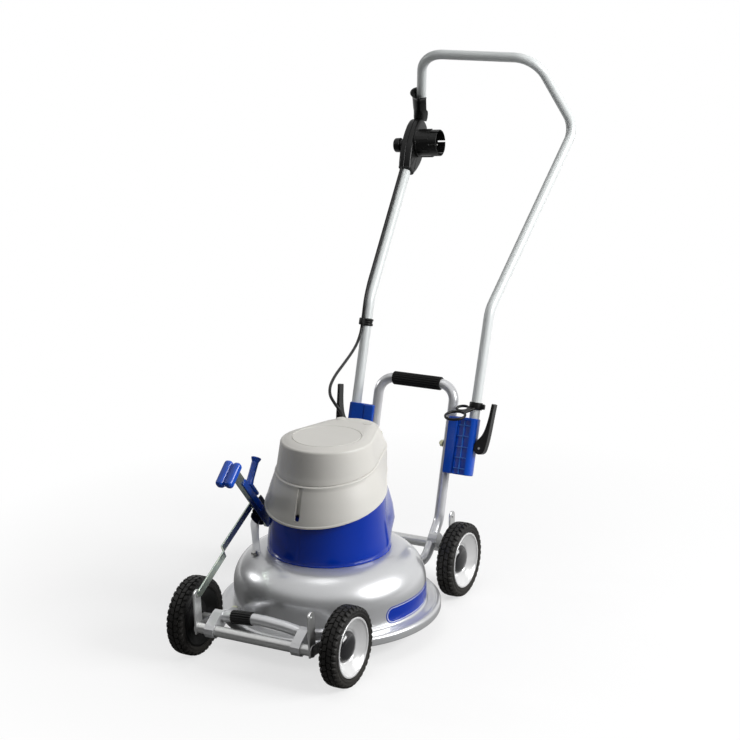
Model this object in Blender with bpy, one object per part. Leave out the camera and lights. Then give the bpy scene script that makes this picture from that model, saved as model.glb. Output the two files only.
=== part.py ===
"""Electric lawn mower with a round steel deck, a folding handlebar and a height lever.

Everything is modelled round the motor shaft: X runs across the mower, -Y is the front, +Z is up
and the ground is z = 0.  At the end the whole mower is shifted so that the middle of its length
lies over the origin.
"""

import math

import bmesh
import bpy
from mathutils import Matrix, Vector

# Clearances between touching pieces
GAP = 0.0003
RUNNING_GAP = 0.0005

# Wheels
WHEEL_RADIUS = 0.080
TYRE_WIDTH = 0.037
TYRE_SHOULDER_DROP = 0.0055
TYRE_CROWN_WIDTH = 0.025
RIM_RADIUS = 0.0605
WHEEL_OUTER_X = 0.1902
FRONT_WHEEL_Y = -0.2466
REAR_WHEEL_Y = 0.2588
HUB_DISH_DEPTH = 0.0175
HUB_DISH_RADIUS = 0.033
HUB_CAP_RADIUS = 0.0305
HUB_CAP_HEIGHT = 0.0095
STUB_RADIUS = 0.006
WHEEL_X = WHEEL_OUTER_X - TYRE_WIDTH / 2

# Deck
DECK_RADIUS = 0.229
DECK_WALL_RADIUS = 0.1985
DECK_SHEET = 0.002
FLANGE_TOP = 0.058
DECK_LIP_BOTTOM = 0.040
DECK_WALL_TOP = 0.100
DECK_SEAT_TOP = 0.1715
DECK_SEAT_RADIUS = 0.1290
DECK_BORE = 0.020
SHOULDER_STEPS = 5

# Tubes
TUBE_RADIUS = 0.011
TUBE_WALL = 0.0013
TUBE_SIDES = 8

# Axles and their bearings
AXLE_SETBACK = 0.0535
AXLE_TUBE_Z = 0.083
ARM_X = 0.128
ARM_THICKNESS = 0.004
ARM_HALF_WIDTH = 0.009
ARM_TOP_Z = 0.161
ARM_TOP_LEAN = 0.0034
REAR_DROP_ARM = (-0.0332, -0.0400)
BEARING_X = 0.097
BEARING_WIDTH = 0.020
BEARING_HALF_WIDTH = 0.0155

# Front loop
LOOP_FOOT = (0.117, -0.172)
LOOP_CORNER = (0.104, -0.272, 0.0995)
LOOP_SHOULDER_X = 0.055
LOOP_RISE = 0.0115
LOOP_BEND = 0.030
LOOP_SLEEVE_FROM = 0.020
LOOP_SLEEVE_LENGTH = 0.046
LOOP_SLEEVE_RADIUS = 0.0138

# Carry frame
FRAME_X = 0.092
FRAME_FOOT_Y = 0.206
FRAME_FOOT_BEND_Y = 0.262
FRAME_LOW_BEND = (0.325, 0.135)
FRAME_TOP = (0.411, 0.4175)
FRAME_TOP_BEND = 0.036
GRIP_LENGTH = 0.116
GRIP_RADIUS = 0.0150

# Handlebar
PIVOT_Z = 0.2945
HANDLE_X = 0.1445
HANDLE_TAIL = 0.060
HANDLE_LOW_BEND = (0.147, 0.4695, 0.5796)
HANDLE_UP_BEND = (0.195, 0.8277, 0.9318)
HANDLE_TOP = (0.140, 0.7266, 1.096)
HANDLE_LOW_RADIUS = 0.070
HANDLE_UP_RADIUS = 0.045
HANDLE_TOP_RADIUS = 0.040

# Clamp brackets
BRACKET_SPLIT_X = 0.1168
BRACKET_DEPTH = 0.034
BRACKET_LENGTH = 0.125
SOCKET_WALL = 0.0025
BOLT_RADIUS = 0.004
NUT_RADIUS = 0.0075
NUT_LENGTH = 0.0065
CAM_RADIUS = 0.0112
CAM_WIDTH = 0.020
# The lever's outline, as places outwards and upwards from the cam's axis
CAM_LEVER_OUTLINE = (
    (-0.0040, -0.0050), (0.0040, -0.0100), (0.0088, -0.0066), (0.0122, -0.0010), (0.0150, 0.0110),
    (0.0180, 0.0380), (0.0200, 0.0620), (0.0234, 0.0980), (0.0168, 0.0996), (0.0134, 0.0620),
    (0.0096, 0.0360), (0.0046, 0.0190), (-0.0020, 0.0100),
)

# Height lever
LEVER_PIVOT = (-0.020, 0.210)
LEVER_LEAN = math.radians(40.6)
LEVER_LENGTH = 0.200
LEVER_X = -0.1332
LEVER_THICKNESS = 0.004
LEVER_HALF_WIDTH = 0.009
LINK_THICKNESS = 0.003
LINK_HALF_WIDTH = 0.0065
FRONT_LINK_REACH = 0.0755
REAR_LINK_PIN = (0.0399, 0.0480)
REAR_LINK_KNEE = (0.160, 0.215)
KNOB_SIZE = (0.033, 0.045, 0.050)
KNOB_FORWARD = 0.012
PEG_RADIUS = 0.0070
PEG_LENGTH = 0.054
PEG_TILT = math.radians(16)
PEG_AT = 0.123
STRIP_FROM = 0.050
STRIP_TO = 0.146
STRIP_THICKNESS = 0.003
QUADRANT_RADIUS = 0.066
QUADRANT_NECK = 0.034
QUADRANT_HUB = 0.010
NOTCH_DEPTH = 0.003
NOTCH_STEP = math.radians(7.5)
NOTCH_COUNT = 5
BRACKET_WALL = 0.0025
BRACKET_FOOT = (0.020, 0.026, 0.003)
BRACKET_FOOT_Y = -0.090

# Covers
COVER_WALL = 0.003
RIM_LEVEL = 0.2868
RIM_TILT = 0.245
SEAM_LEVEL = 0.3493
SEAM_TILT = 0.137
CAP_EDGE = 0.3965
CAP_TOP = 0.4075
COVER_OVERLAP = 0.012
SLOT_WIDTH = 0.014
SLOT_DEPTH = 0.050
SLOT_Y = -0.125
MIDDLE_SLOT = (0.304, 0.055)
BASE_SLOT = (0.218, 0.040)

# Motor
SHAFT_RADIUS = 0.006
BEARING_RADIUS = 0.0175
ROTOR_RADIUS = 0.0405
STATOR_BORE = 0.0415
BELL_RADIUS = 0.078
BELL_WALL = 0.0025
BELL_TOP = 0.276
FLANGE_RADIUS = 0.112
FLANGE_THICKNESS = 0.006
FAN_RADIUS = 0.062
FAN_BLADES = 6
BLADE_LENGTH = 0.370
BLADE_WIDTH = 0.046
BLADE_THICKNESS = 0.003
BLADE_Z = 0.062

# Switch box
BOX_ALONG = 0.825
BOX_LENGTH = 0.135
BOX_DEPTH = 0.070
BOX_THICKNESS = 0.031
BOX_WALL = 0.003
BUTTON_RADIUS = 0.017
BUTTON_TRAVEL = 0.005
BUTTON_PLACE = (-0.003, 0.017)
INLET_RADIUS = 0.029
INLET_LENGTH = 0.055
INLET_WALL = 0.0026
INLET_PLACE = (0.010, 0.006)
INLET_SLOT_DEPTH = 0.019
INLET_SLOT_WIDTH = 0.003
PADDLE_LENGTH = 0.082
PADDLE_FROM_BOX = 0.010
PADDLE_WALL = 0.0022
PADDLE_STANDOFF = 0.0065

# Motor cable
CABLE_RADIUS = 0.00325
GLAND_PLACE = (-0.045, 0.149, 0.381)
GLAND_LEAN = (-0.35, 0.45, 0.82)
GLAND_RADIUS = 0.0062
GLAND_OUTSIDE = 0.016
GLAND_INSIDE = 0.008
CABLE_BOW = (
    (-0.0610, 0.1645, 0.4085),
    (-0.0740, 0.1655, 0.4230),
    (-0.0880, 0.1730, 0.4370),
    (-0.1000, 0.1960, 0.4495),
    (-0.1120, 0.2400, 0.4600),
    (-0.1240, 0.3000, 0.4695),
    (-0.1370, 0.3620, 0.4790),
    (-0.1478, 0.4080, 0.4900),
)
CLIP_ALONG = 0.224
CLIP_LENGTH = 0.016

# Cord hook
HOOK_ALONG = 0.090
HOOK_LENGTH = 0.016
HOOK_WALL = 0.0035
HOOK_TILT = math.radians(7.5)
# Each loop: its centre inwards and forwards from the leg, and its radius
HOOK_LOOPS = ((0.0215, 0.060, 0.0215), (0.0225, 0.0200, 0.0130))
HOOK_LOOP_SIDES = 16
HOOK_ARM = (0.011, 0.006)
HOOK_ROD = 0.0026

# Places worked out from the sizes above
LEAN = Vector((0.0, FRAME_TOP[0] - FRAME_LOW_BEND[0], FRAME_TOP[1] - FRAME_LOW_BEND[1])).normalized()
PIVOT_Y = FRAME_LOW_BEND[0] + (PIVOT_Z - FRAME_LOW_BEND[1]) * LEAN.y / LEAN.z
FRONT_AXLE = Vector((0.0, FRONT_WHEEL_Y - AXLE_SETBACK, AXLE_TUBE_Z))
REAR_AXLE = Vector((0.0, REAR_WHEEL_Y + AXLE_SETBACK, AXLE_TUBE_Z))
LEVER_POINT = Vector((0.0, *LEVER_PIVOT))
LEVER_WAY = Vector((0.0, -math.sin(LEVER_LEAN), math.cos(LEVER_LEAN)))
LEVER_SIDE = Vector((0.0, math.cos(LEVER_LEAN), math.sin(LEVER_LEAN)))
SOCKET_OUTER_X = HANDLE_X + TUBE_RADIUS + SOCKET_WALL
CAM_X = SOCKET_OUTER_X + GAP + CAM_RADIUS
SHAFT_TOP = BELL_TOP + 0.030
BEARING_SEAT = DECK_SEAT_TOP + GAP + 0.004
BEARING_HEIGHT = 0.011
BUTTON_HEIGHT = 0.016
COLLAR_HEIGHT = 0.012


def clear_scene():
    """Remove every object that is in the scene."""
    for thing in list(bpy.data.objects):
        bpy.data.objects.remove(thing, do_unlink=True)


def make_material(name, colour, roughness, metallic=0.0):
    """Return a Principled material with one colour, roughness and metallic value."""
    material = bpy.data.materials.new(name)
    material.use_nodes = True
    shader = material.node_tree.nodes["Principled BSDF"]
    shader.inputs["Base Color"].default_value = (*colour, 1.0)
    shader.inputs["Roughness"].default_value = roughness
    shader.inputs["Metallic"].default_value = metallic
    material.diffuse_color = (*colour, 1.0)
    return material


def finish(name, bm, finishes):
    """Turn a bmesh into a named object with its own material and smooth round faces."""
    bmesh.ops.recalc_face_normals(bm, faces=bm.faces)
    mesh = bpy.data.meshes.new(name)
    bm.to_mesh(mesh)
    bm.free()
    thing = bpy.data.objects.new(name, mesh)
    bpy.context.scene.collection.objects.link(thing)
    smooth(thing)
    if finishes:
        mesh.materials.append(make_material(name + "_finish", *finishes))
    return thing


def smooth(thing):
    """Shade round faces smooth and keep edges over thirty degrees sharp."""
    thing.data.shade_smooth()
    thing.data.set_sharp_from_angle(angle=math.radians(30))


def combine(thing, tools, operation):
    """Apply one Boolean with each tool in turn and remove the tools."""
    material = thing.data.materials[0] if thing.data.materials else None
    for tool in tools:
        step = thing.modifiers.new(tool.name, "BOOLEAN")
        step.operation = operation
        step.object = tool
        step.solver = "EXACT"
    bpy.context.view_layer.update()
    shaped = thing.evaluated_get(bpy.context.evaluated_depsgraph_get())
    mesh = bpy.data.meshes.new_from_object(shaped)
    thing.modifiers.clear()
    mesh.name = thing.name
    thing.data = mesh
    mesh.materials.clear()
    if material:
        mesh.materials.append(material)
    for tool in tools:
        bpy.data.objects.remove(tool, do_unlink=True)
    smooth(thing)
    return thing


def cut(thing, *tools):
    """Cut the tools out of a solid."""
    return combine(thing, tools, "DIFFERENCE")


def join(thing, *tools):
    """Unite the tools with a solid into one body."""
    return combine(thing, tools, "UNION")


def loft(rings, closed=False):
    """Return a bmesh that joins equal rings of points, capped unless it closes on itself."""
    bm = bmesh.new()
    rows = [[bm.verts.new(point) for point in ring] for ring in rings]
    pairs = list(zip(rows, rows[1:]))
    if closed:
        pairs.append((rows[-1], rows[0]))
    for row, following in pairs:
        for index, vertex in enumerate(row):
            after = (index + 1) % len(row)
            bm.faces.new((vertex, row[after], following[after], following[index]))
    if not closed:
        bm.faces.new(rows[0])
        bm.faces.new(rows[-1])
    return bm


def turned(name, profile, segments, finishes=None, place=(0, 0, 0), turn=None, offset=0.0):
    """Spin a closed (radius, height) profile round Z, then turn it and put it in its place."""
    bm = bmesh.new()
    corners = [bm.verts.new((radius, 0, height)) for radius, height in profile]
    edges = []
    for first, second in zip(corners, corners[1:] + corners[:1]):
        if first.co.x > 0 or second.co.x > 0:
            edges.append(bm.edges.new((first, second)))
    bmesh.ops.spin(bm, geom=corners + edges, cent=(0, 0, 0), axis=(0, 0, 1),
                   angle=math.tau, steps=segments, use_merge=True)
    bmesh.ops.remove_doubles(bm, verts=bm.verts, dist=1e-6)
    move = Matrix.Translation(place) @ (turn or Matrix.Identity(4)) @ Matrix.Rotation(offset, 4, "Z")
    bmesh.ops.transform(bm, matrix=move, verts=bm.verts)
    return finish(name, bm, finishes)


def rod(name, start, end, radius, sides, finishes=None):
    """Return a plain cylinder between two points."""
    start, end = Vector(start), Vector(end)
    way = end - start
    bm = bmesh.new()
    bmesh.ops.create_cone(bm, cap_ends=True, segments=sides, radius1=radius, radius2=radius,
                          depth=way.length)
    turn = way.to_track_quat("Z", "Y").to_matrix().to_4x4()
    bmesh.ops.transform(bm, matrix=Matrix.Translation((start + end) / 2) @ turn, verts=bm.verts)
    return finish(name, bm, finishes)


def block(name, size, frame, finishes=None, bevel=0.0):
    """Return a box of a size, centred on a frame, with its edges bevelled."""
    bm = bmesh.new()
    bmesh.ops.create_cube(bm, size=1.0)
    bmesh.ops.scale(bm, vec=size, verts=bm.verts)
    if bevel:
        bmesh.ops.bevel(bm, geom=bm.edges[:], offset=bevel, segments=1, affect="EDGES")
    bmesh.ops.transform(bm, matrix=frame, verts=bm.verts)
    return finish(name, bm, finishes)


def frame_of(origin, x_way, y_way, z_way):
    """Return the matrix of a frame from its origin and three unit directions."""
    turn = Matrix((x_way, y_way, z_way)).transposed().to_4x4()
    return Matrix.Translation(origin) @ turn


def rounded(corners, radii, bend_step=math.radians(24)):
    """Return a path through corners, each inner corner rounded by an arc of its own radius."""
    corners = [Vector(corner) for corner in corners]
    path = [corners[0]]
    for before, corner, after, radius in zip(corners, corners[1:], corners[2:], radii):
        into = (corner - before).normalized()
        out = (after - corner).normalized()
        bend = into.angle(out)
        tangent = radius * math.tan(bend / 2)
        side = (out - into).normalized()
        centre = corner + side * (radius / math.cos(bend / 2))
        start = corner - into * tangent - centre
        normal = into.cross(out).normalized()
        steps = max(2, math.ceil(bend / bend_step))
        for step in range(steps + 1):
            path.append(centre + Matrix.Rotation(bend * step / steps, 3, normal) @ start)
    path.append(corners[-1])
    return path


def mirrored(half):
    """Return a path whose first half is given and whose second half is its mirror across X."""
    return half + [Vector((-point.x, point.y, point.z)) for point in reversed(half)]


def length_of(path):
    """Return the length along a path."""
    return sum((after - before).length for before, after in zip(path, path[1:]))


def stretch(path, start, end):
    """Return the stretch of a path between two distances along it."""
    result = []
    passed = 0.0
    for before, after in zip(path, path[1:]):
        step = (after - before).length
        for distance in (start, end):
            if passed <= distance < passed + step or (distance == end and result and
                                                      after is path[-1] and distance >= passed + step):
                share = min(1.0, (distance - passed) / step)
                result.append(before.lerp(after, share))
        passed += step
        if start < passed < end:
            result.append(after)
    cleaned = [result[0]]
    for point in result[1:]:
        if (point - cleaned[-1]).length > 1e-6:
            cleaned.append(point)
    return cleaned


def section_frames(path):
    """Return the tangent and two side directions at each point of a path, without twist."""
    tangents = []
    for index, point in enumerate(path):
        before = path[max(index - 1, 0)]
        after = path[min(index + 1, len(path) - 1)]
        into = (point - before).normalized() if index else (after - point).normalized()
        out = (after - point).normalized() if index < len(path) - 1 else into
        tangents.append((into + out).normalized())
    side = tangents[0].orthogonal().normalized()
    if abs(tangents[0].x) < 0.9:
        side = (Vector((1, 0, 0)) - tangents[0] * tangents[0].x).normalized()
    frames = []
    for before, tangent in zip([tangents[0]] + tangents, tangents):
        side = before.rotation_difference(tangent) @ side
        side = (side - tangent * side.dot(tangent)).normalized()
        frames.append((tangent, side, tangent.cross(side)))
    return frames


def circles(path, radius, sides):
    """Return one circle of points round each point of a path, with an edge on the side direction."""
    rings = []
    for point, (_, side, other) in zip(path, section_frames(path)):
        angles = [math.tau * (step + 0.5) / sides for step in range(sides)]
        rings.append([point + radius * (math.cos(a) * side + math.sin(a) * other) for a in angles])
    return rings


def tube(name, path, radius, bore=0.0, sides=TUBE_SIDES, finishes=None):
    """Sweep a round tube along a path, hollow when it has a bore."""
    rings = circles(path, radius, sides)
    if bore:
        rings += list(reversed(circles(path, bore, sides)))
    return finish(name, loft(rings, closed=bool(bore)), finishes)


def around(path, name="cutter", gap=GAP, sides=TUBE_SIDES + 4):
    """Return a solid that clears a tube on this path by the gap, for cutting its seat."""
    reach = (TUBE_RADIUS + gap) / math.cos(math.pi / sides)
    return tube(name, path, reach, sides=sides)


def strap_outline(corners, half_width, arc_steps=5):
    """Return the outline of a bent strap with round ends in the Y-Z plane."""
    points = [Vector(corner) for corner in corners]
    ways = [(after - before).normalized() for before, after in zip(points, points[1:])]
    sides = [Vector((-way.y, way.x)) for way in ways]
    near = []
    far = []
    for index in range(1, len(points) - 1):
        middle = (sides[index - 1] + sides[index]).normalized()
        reach = half_width / middle.dot(sides[index])
        near.append(points[index] + middle * reach)
        far.append(points[index] - middle * reach)

    def end(centre, way):
        turn = math.atan2(way.y, way.x)
        angles = [turn + math.pi * (step / arc_steps - 0.5) for step in range(arc_steps + 1)]
        return [centre + half_width * Vector((math.cos(a), math.sin(a))) for a in angles]

    return end(points[0], -ways[0]) + far + end(points[-1], ways[-1]) + list(reversed(near))


def plate(name, outline, x_from, x_to, finishes=None):
    """Extrude an outline of the Y-Z plane along X."""
    bm = bmesh.new()
    face = bm.faces.new([bm.verts.new((x_from, point[0], point[1])) for point in outline])
    grown = bmesh.ops.extrude_face_region(bm, geom=[face])
    moved = [item for item in grown["geom"] if isinstance(item, bmesh.types.BMVert)]
    bmesh.ops.translate(bm, vec=(x_to - x_from, 0, 0), verts=moved)
    return finish(name, bm, finishes)


def ribbon(name, path, half_width, thickness, finishes=None):
    """Sweep a flat bar along a path in planes across X, with round ends and joggles in X."""
    points = [Vector(point) for point in path]
    flats = [Vector((0, point.y, point.z)) for point in points]
    ways = [(after - before).normalized() for before, after in zip(flats, flats[1:])]
    stations = []
    end_angles = [math.radians(angle) for angle in (80, 50, 25, 0)]
    for angle in end_angles:
        centre = points[0] - ways[0] * half_width * math.sin(angle)
        stations.append((centre, ways[0].cross(Vector((1, 0, 0))), half_width * math.cos(angle)))
    for point, before, after in zip(points[1:-1], ways, ways[1:]):
        middle = (before + after).normalized()
        reach = half_width / middle.dot(after)
        stations.append((point, middle.cross(Vector((1, 0, 0))), reach))
    for angle in reversed(end_angles):
        centre = points[-1] + ways[-1] * half_width * math.sin(angle)
        stations.append((centre, ways[-1].cross(Vector((1, 0, 0))), half_width * math.cos(angle)))
    half = Vector((thickness / 2, 0, 0))
    rings = []
    for centre, side, reach in stations:
        rings.append([centre - side * reach - half, centre + side * reach - half,
                      centre + side * reach + half, centre - side * reach + half])
    return finish(name, loft(rings), finishes)


class Assembly:
    """The joint empties of the mower, and the pieces that hang on them."""

    def __init__(self):
        self.root = bpy.data.objects.new("mower", None)
        bpy.context.scene.collection.objects.link(self.root)
        self.pivots = {"": self.root}

    def pivot(self, name, place, parent=""):
        """Add a joint empty at a place."""
        empty = bpy.data.objects.new(name, None)
        bpy.context.scene.collection.objects.link(empty)
        empty.location = place
        self.hang(empty, parent)
        self.pivots[name] = empty
        return empty

    def hang(self, thing, parent=""):
        """Parent a piece to a joint empty and leave it where it is."""
        bpy.context.view_layer.update()
        owner = self.pivots[parent]
        thing.parent = owner
        thing.matrix_parent_inverse = owner.matrix_world.inverted()
        return thing

    def centre_on_ground(self):
        """Shift the whole mower so that the middle of its length lies over the origin."""
        bpy.context.view_layer.update()
        reach = []
        for thing in bpy.context.scene.objects:
            if thing.type in {"MESH", "CURVE"}:
                reach += [(thing.matrix_world @ Vector(corner)).y for corner in thing.bound_box]
        self.root.location.y = -(min(reach) + max(reach)) / 2


SILVER = ((0.56, 0.57, 0.58), 0.32, 0.85)
ZINC = ((0.68, 0.70, 0.70), 0.35, 0.85)
STEEL = ((0.45, 0.47, 0.46), 0.38, 0.9)
BLUE = ((0.015, 0.045, 0.42), 0.28, 0.0)
GREY = ((0.50, 0.50, 0.49), 0.5, 0.0)
BLACK = ((0.012, 0.012, 0.013), 0.45, 0.0)
RUBBER = ((0.016, 0.016, 0.016), 0.8, 0.0)
WHITE = ((0.72, 0.72, 0.72), 0.4, 0.0)
COPPER = ((0.55, 0.25, 0.12), 0.5, 0.6)


def frame_path():
    """Return the centre line of the carry frame's tube."""
    foot_z = FLANGE_TOP + GAP + TUBE_RADIUS
    half = rounded(
        [
            (FRAME_X, FRAME_FOOT_Y, foot_z),
            (FRAME_X, FRAME_FOOT_BEND_Y, foot_z),
            (FRAME_X, *FRAME_LOW_BEND),
            (FRAME_X, *FRAME_TOP),
            (0.0, *FRAME_TOP),
        ],
        [0.045, 0.045, FRAME_TOP_BEND],
    )
    return mirrored(half[:-1])


def handle_path():
    """Return the centre line of the handlebar's tube."""
    low = Vector(HANDLE_LOW_BEND)
    pivot = Vector((HANDLE_X, PIVOT_Y, PIVOT_Z))
    tail = pivot - (low - pivot).normalized() * HANDLE_TAIL
    top = Vector(HANDLE_TOP)
    half = rounded(
        [tail, low, Vector(HANDLE_UP_BEND), top, Vector((0.0, top.y, top.z))],
        [HANDLE_LOW_RADIUS, HANDLE_UP_RADIUS, HANDLE_TOP_RADIUS],
    )
    return mirrored(half[:-1])


def loop_path():
    """Return the centre line of the arched tube in front of the deck."""
    foot_z = FLANGE_TOP + GAP + TUBE_RADIUS
    corner_x, corner_y, corner_z = LOOP_CORNER
    half = rounded(
        [
            (*LOOP_FOOT, foot_z),
            LOOP_CORNER,
            (LOOP_SHOULDER_X, corner_y, corner_z + LOOP_RISE * 0.7),
            (0.0, corner_y, corner_z + LOOP_RISE),
            (-LOOP_SHOULDER_X, corner_y, corner_z + LOOP_RISE * 0.7),
        ],
        [LOOP_BEND, 0.15, 0.15],
    )
    middle = [point for point in half if point.x > 1e-6]
    return mirrored(middle)


def deck_height(radius):
    """Return the height of the deck's top at a distance from the shaft: a quarter of an ellipse."""
    share = max(0.0, radius - DECK_SEAT_RADIUS) / (DECK_WALL_RADIUS - DECK_SEAT_RADIUS)
    return DECK_WALL_TOP + (DECK_SEAT_TOP - DECK_WALL_TOP) * math.sqrt(1 - min(1.0, share) ** 2)


def make_deck():
    """Make the turned steel deck: a flange with a lip, a wall, a round shoulder and a flat seat."""
    wall = DECK_WALL_RADIUS
    sheet = DECK_SHEET
    turns = [math.pi / 2 * step / SHOULDER_STEPS for step in range(SHOULDER_STEPS + 1)]
    shoulder = []
    for drop in (0.0, sheet):
        width = wall - drop - DECK_SEAT_RADIUS
        height = DECK_SEAT_TOP - drop - DECK_WALL_TOP
        shoulder.append([(DECK_SEAT_RADIUS + width * math.sin(turn),
                          DECK_WALL_TOP + height * math.cos(turn)) for turn in turns])
    outer = [(DECK_BORE, DECK_SEAT_TOP)] + shoulder[0] + [
        (wall, FLANGE_TOP + 0.003),
        (wall + 0.003, FLANGE_TOP),
        (DECK_RADIUS - 0.003, FLANGE_TOP),
        (DECK_RADIUS, FLANGE_TOP - 0.003),
        (DECK_RADIUS, DECK_LIP_BOTTOM),
    ]
    inner = [
        (DECK_RADIUS - sheet, DECK_LIP_BOTTOM),
        (DECK_RADIUS - sheet, FLANGE_TOP - sheet - 0.002),
        (wall, FLANGE_TOP - sheet - 0.002),
        (wall - sheet, FLANGE_TOP),
    ] + shoulder[1][::-1] + [(DECK_BORE, DECK_SEAT_TOP - sheet)]
    return turned("deck", outer + inner, 36, SILVER)


BASE_SECTIONS = (
    (0.171, 0.1276, 0.1276, 0.000),
    (0.178, 0.1272, 0.1200, 0.013),
    (0.192, 0.1262, 0.1080, 0.046),
    (0.209, 0.1238, 0.1005, 0.075),
    (0.242, 0.1200, 0.0970, 0.074),
    (0.300, 0.1175, 0.0850, 0.065),
    (0.345, 0.1080, 0.0800, 0.065),
)
UPPER_SECTIONS = (
    (0.250, 0.1345, 0.0980, 0.060),
    (0.272, 0.1290, 0.0950, 0.060),
    (0.308, 0.1177, 0.0915, 0.062),
    (0.346, 0.1038, 0.0870, 0.074),
    (0.366, 0.1005, 0.0830, 0.080),
    (0.397, 0.0953, 0.0690, 0.082),
    (0.410, 0.0930, 0.0660, 0.082),
)


def section_at(sections, height):
    """Return a cover's front radius, rear radius and rear centre at a height."""
    for low, high in zip(sections, sections[1:]):
        if height <= high[0] or high is sections[-1]:
            share = min(1.0, max(0.0, (height - low[0]) / (high[0] - low[0])))
            return [a + (b - a) * share for a, b in zip(low[1:], high[1:])]
    return list(sections[0][1:])


def cover_ring(sections, level, tilt=0.0, inset=0.0, points=36):
    """Return a cover's outline on a plane that rises to the rear.

    The plan is the shape round two circles: a large one round the shaft and a smaller one behind.
    """
    ring = []
    for step in range(points):
        angle = math.tau * step / points
        height = level
        for _ in range(4):
            front, rear, centre = section_at(sections, height)
            if front >= rear + centre * math.sin(angle):
                x, y = (front - inset) * math.cos(angle), (front - inset) * math.sin(angle)
            else:
                x, y = (rear - inset) * math.cos(angle), centre + (rear - inset) * math.sin(angle)
            height = level + tilt * y
        ring.append(Vector((x, y, height)))
    return ring


def make_covers(assembly):
    """Make the blue base cover, the grey middle cover on it and the top cap."""
    seat = cover_ring(BASE_SECTIONS, DECK_SEAT_TOP + GAP)
    seat_inside = cover_ring(BASE_SECTIONS, DECK_SEAT_TOP + GAP, 0.0, COVER_WALL)
    planes = ((0.178, 0.0), (0.192, 0.0), (0.209, 0.0), (0.235, 0.02), (0.268, 0.12),
              (RIM_LEVEL + COVER_OVERLAP, RIM_TILT))
    outer = [seat] + [cover_ring(BASE_SECTIONS, level, tilt) for level, tilt in planes]
    inner = [cover_ring(BASE_SECTIONS, level, tilt, COVER_WALL) for level, tilt in reversed(planes)]
    base = finish("base_cover", loft(outer + inner + [seat_inside], closed=True), BLUE)

    ledge = RIM_LEVEL + COVER_OVERLAP + GAP
    outside = [
        cover_ring(UPPER_SECTIONS, RIM_LEVEL, RIM_TILT),
        cover_ring(UPPER_SECTIONS, RIM_LEVEL + 0.020, 0.21),
        cover_ring(UPPER_SECTIONS, RIM_LEVEL + 0.040, 0.17),
        cover_ring(UPPER_SECTIONS, SEAM_LEVEL, SEAM_TILT),
    ]
    inside = [
        cover_ring(UPPER_SECTIONS, SEAM_LEVEL, SEAM_TILT, COVER_WALL),
        cover_ring(BASE_SECTIONS, ledge + 0.005, RIM_TILT, COVER_WALL + 0.001),
        cover_ring(BASE_SECTIONS, ledge, RIM_TILT, COVER_WALL + 0.001),
        cover_ring(BASE_SECTIONS, ledge, RIM_TILT, -0.0006),
        cover_ring(UPPER_SECTIONS, RIM_LEVEL, RIM_TILT, COVER_WALL),
    ]
    middle = finish("middle_cover", loft(outside + inside, closed=True), GREY)

    under = [
        cover_ring(UPPER_SECTIONS, CAP_TOP - COVER_WALL, 0.0, 0.024),
        cover_ring(UPPER_SECTIONS, CAP_EDGE - 0.001, 0.0, COVER_WALL + 0.002),
        cover_ring(UPPER_SECTIONS, 0.372, 0.06, COVER_WALL),
        cover_ring(UPPER_SECTIONS, SEAM_LEVEL + GAP, SEAM_TILT, COVER_WALL),
    ]
    over = [
        cover_ring(UPPER_SECTIONS, SEAM_LEVEL + GAP, SEAM_TILT),
        cover_ring(UPPER_SECTIONS, 0.372, 0.06),
        cover_ring(UPPER_SECTIONS, CAP_EDGE - 0.004),
        cover_ring(UPPER_SECTIONS, CAP_EDGE, 0.0, 0.0012),
        cover_ring(UPPER_SECTIONS, CAP_TOP - 0.0015, 0.0, 0.012),
        cover_ring(UPPER_SECTIONS, CAP_TOP, 0.0, 0.022),
    ]
    cap = finish("top_cap", loft(under + over), GREY)

    for cover, (middle_z, height) in ((middle, MIDDLE_SLOT), (base, BASE_SLOT)):
        place = Matrix.Translation((0, SLOT_Y, middle_z))
        cut(cover, block("slot", (SLOT_WIDTH, SLOT_DEPTH, height), place))

    lean = Vector(GLAND_LEAN).normalized()
    inner_end = Vector(GLAND_PLACE) - lean * GLAND_INSIDE
    outer_end = Vector(GLAND_PLACE) + lean * GLAND_OUTSIDE
    hole = rod("hole", inner_end - lean * 0.004, outer_end, GLAND_RADIUS + 2 * GAP, 16)
    cut(cap, hole)
    gland = rod("cable_gland", inner_end, outer_end, GLAND_RADIUS, 12, BLACK)
    for thing in (base, middle, cap, gland):
        assembly.hang(thing)


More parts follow.
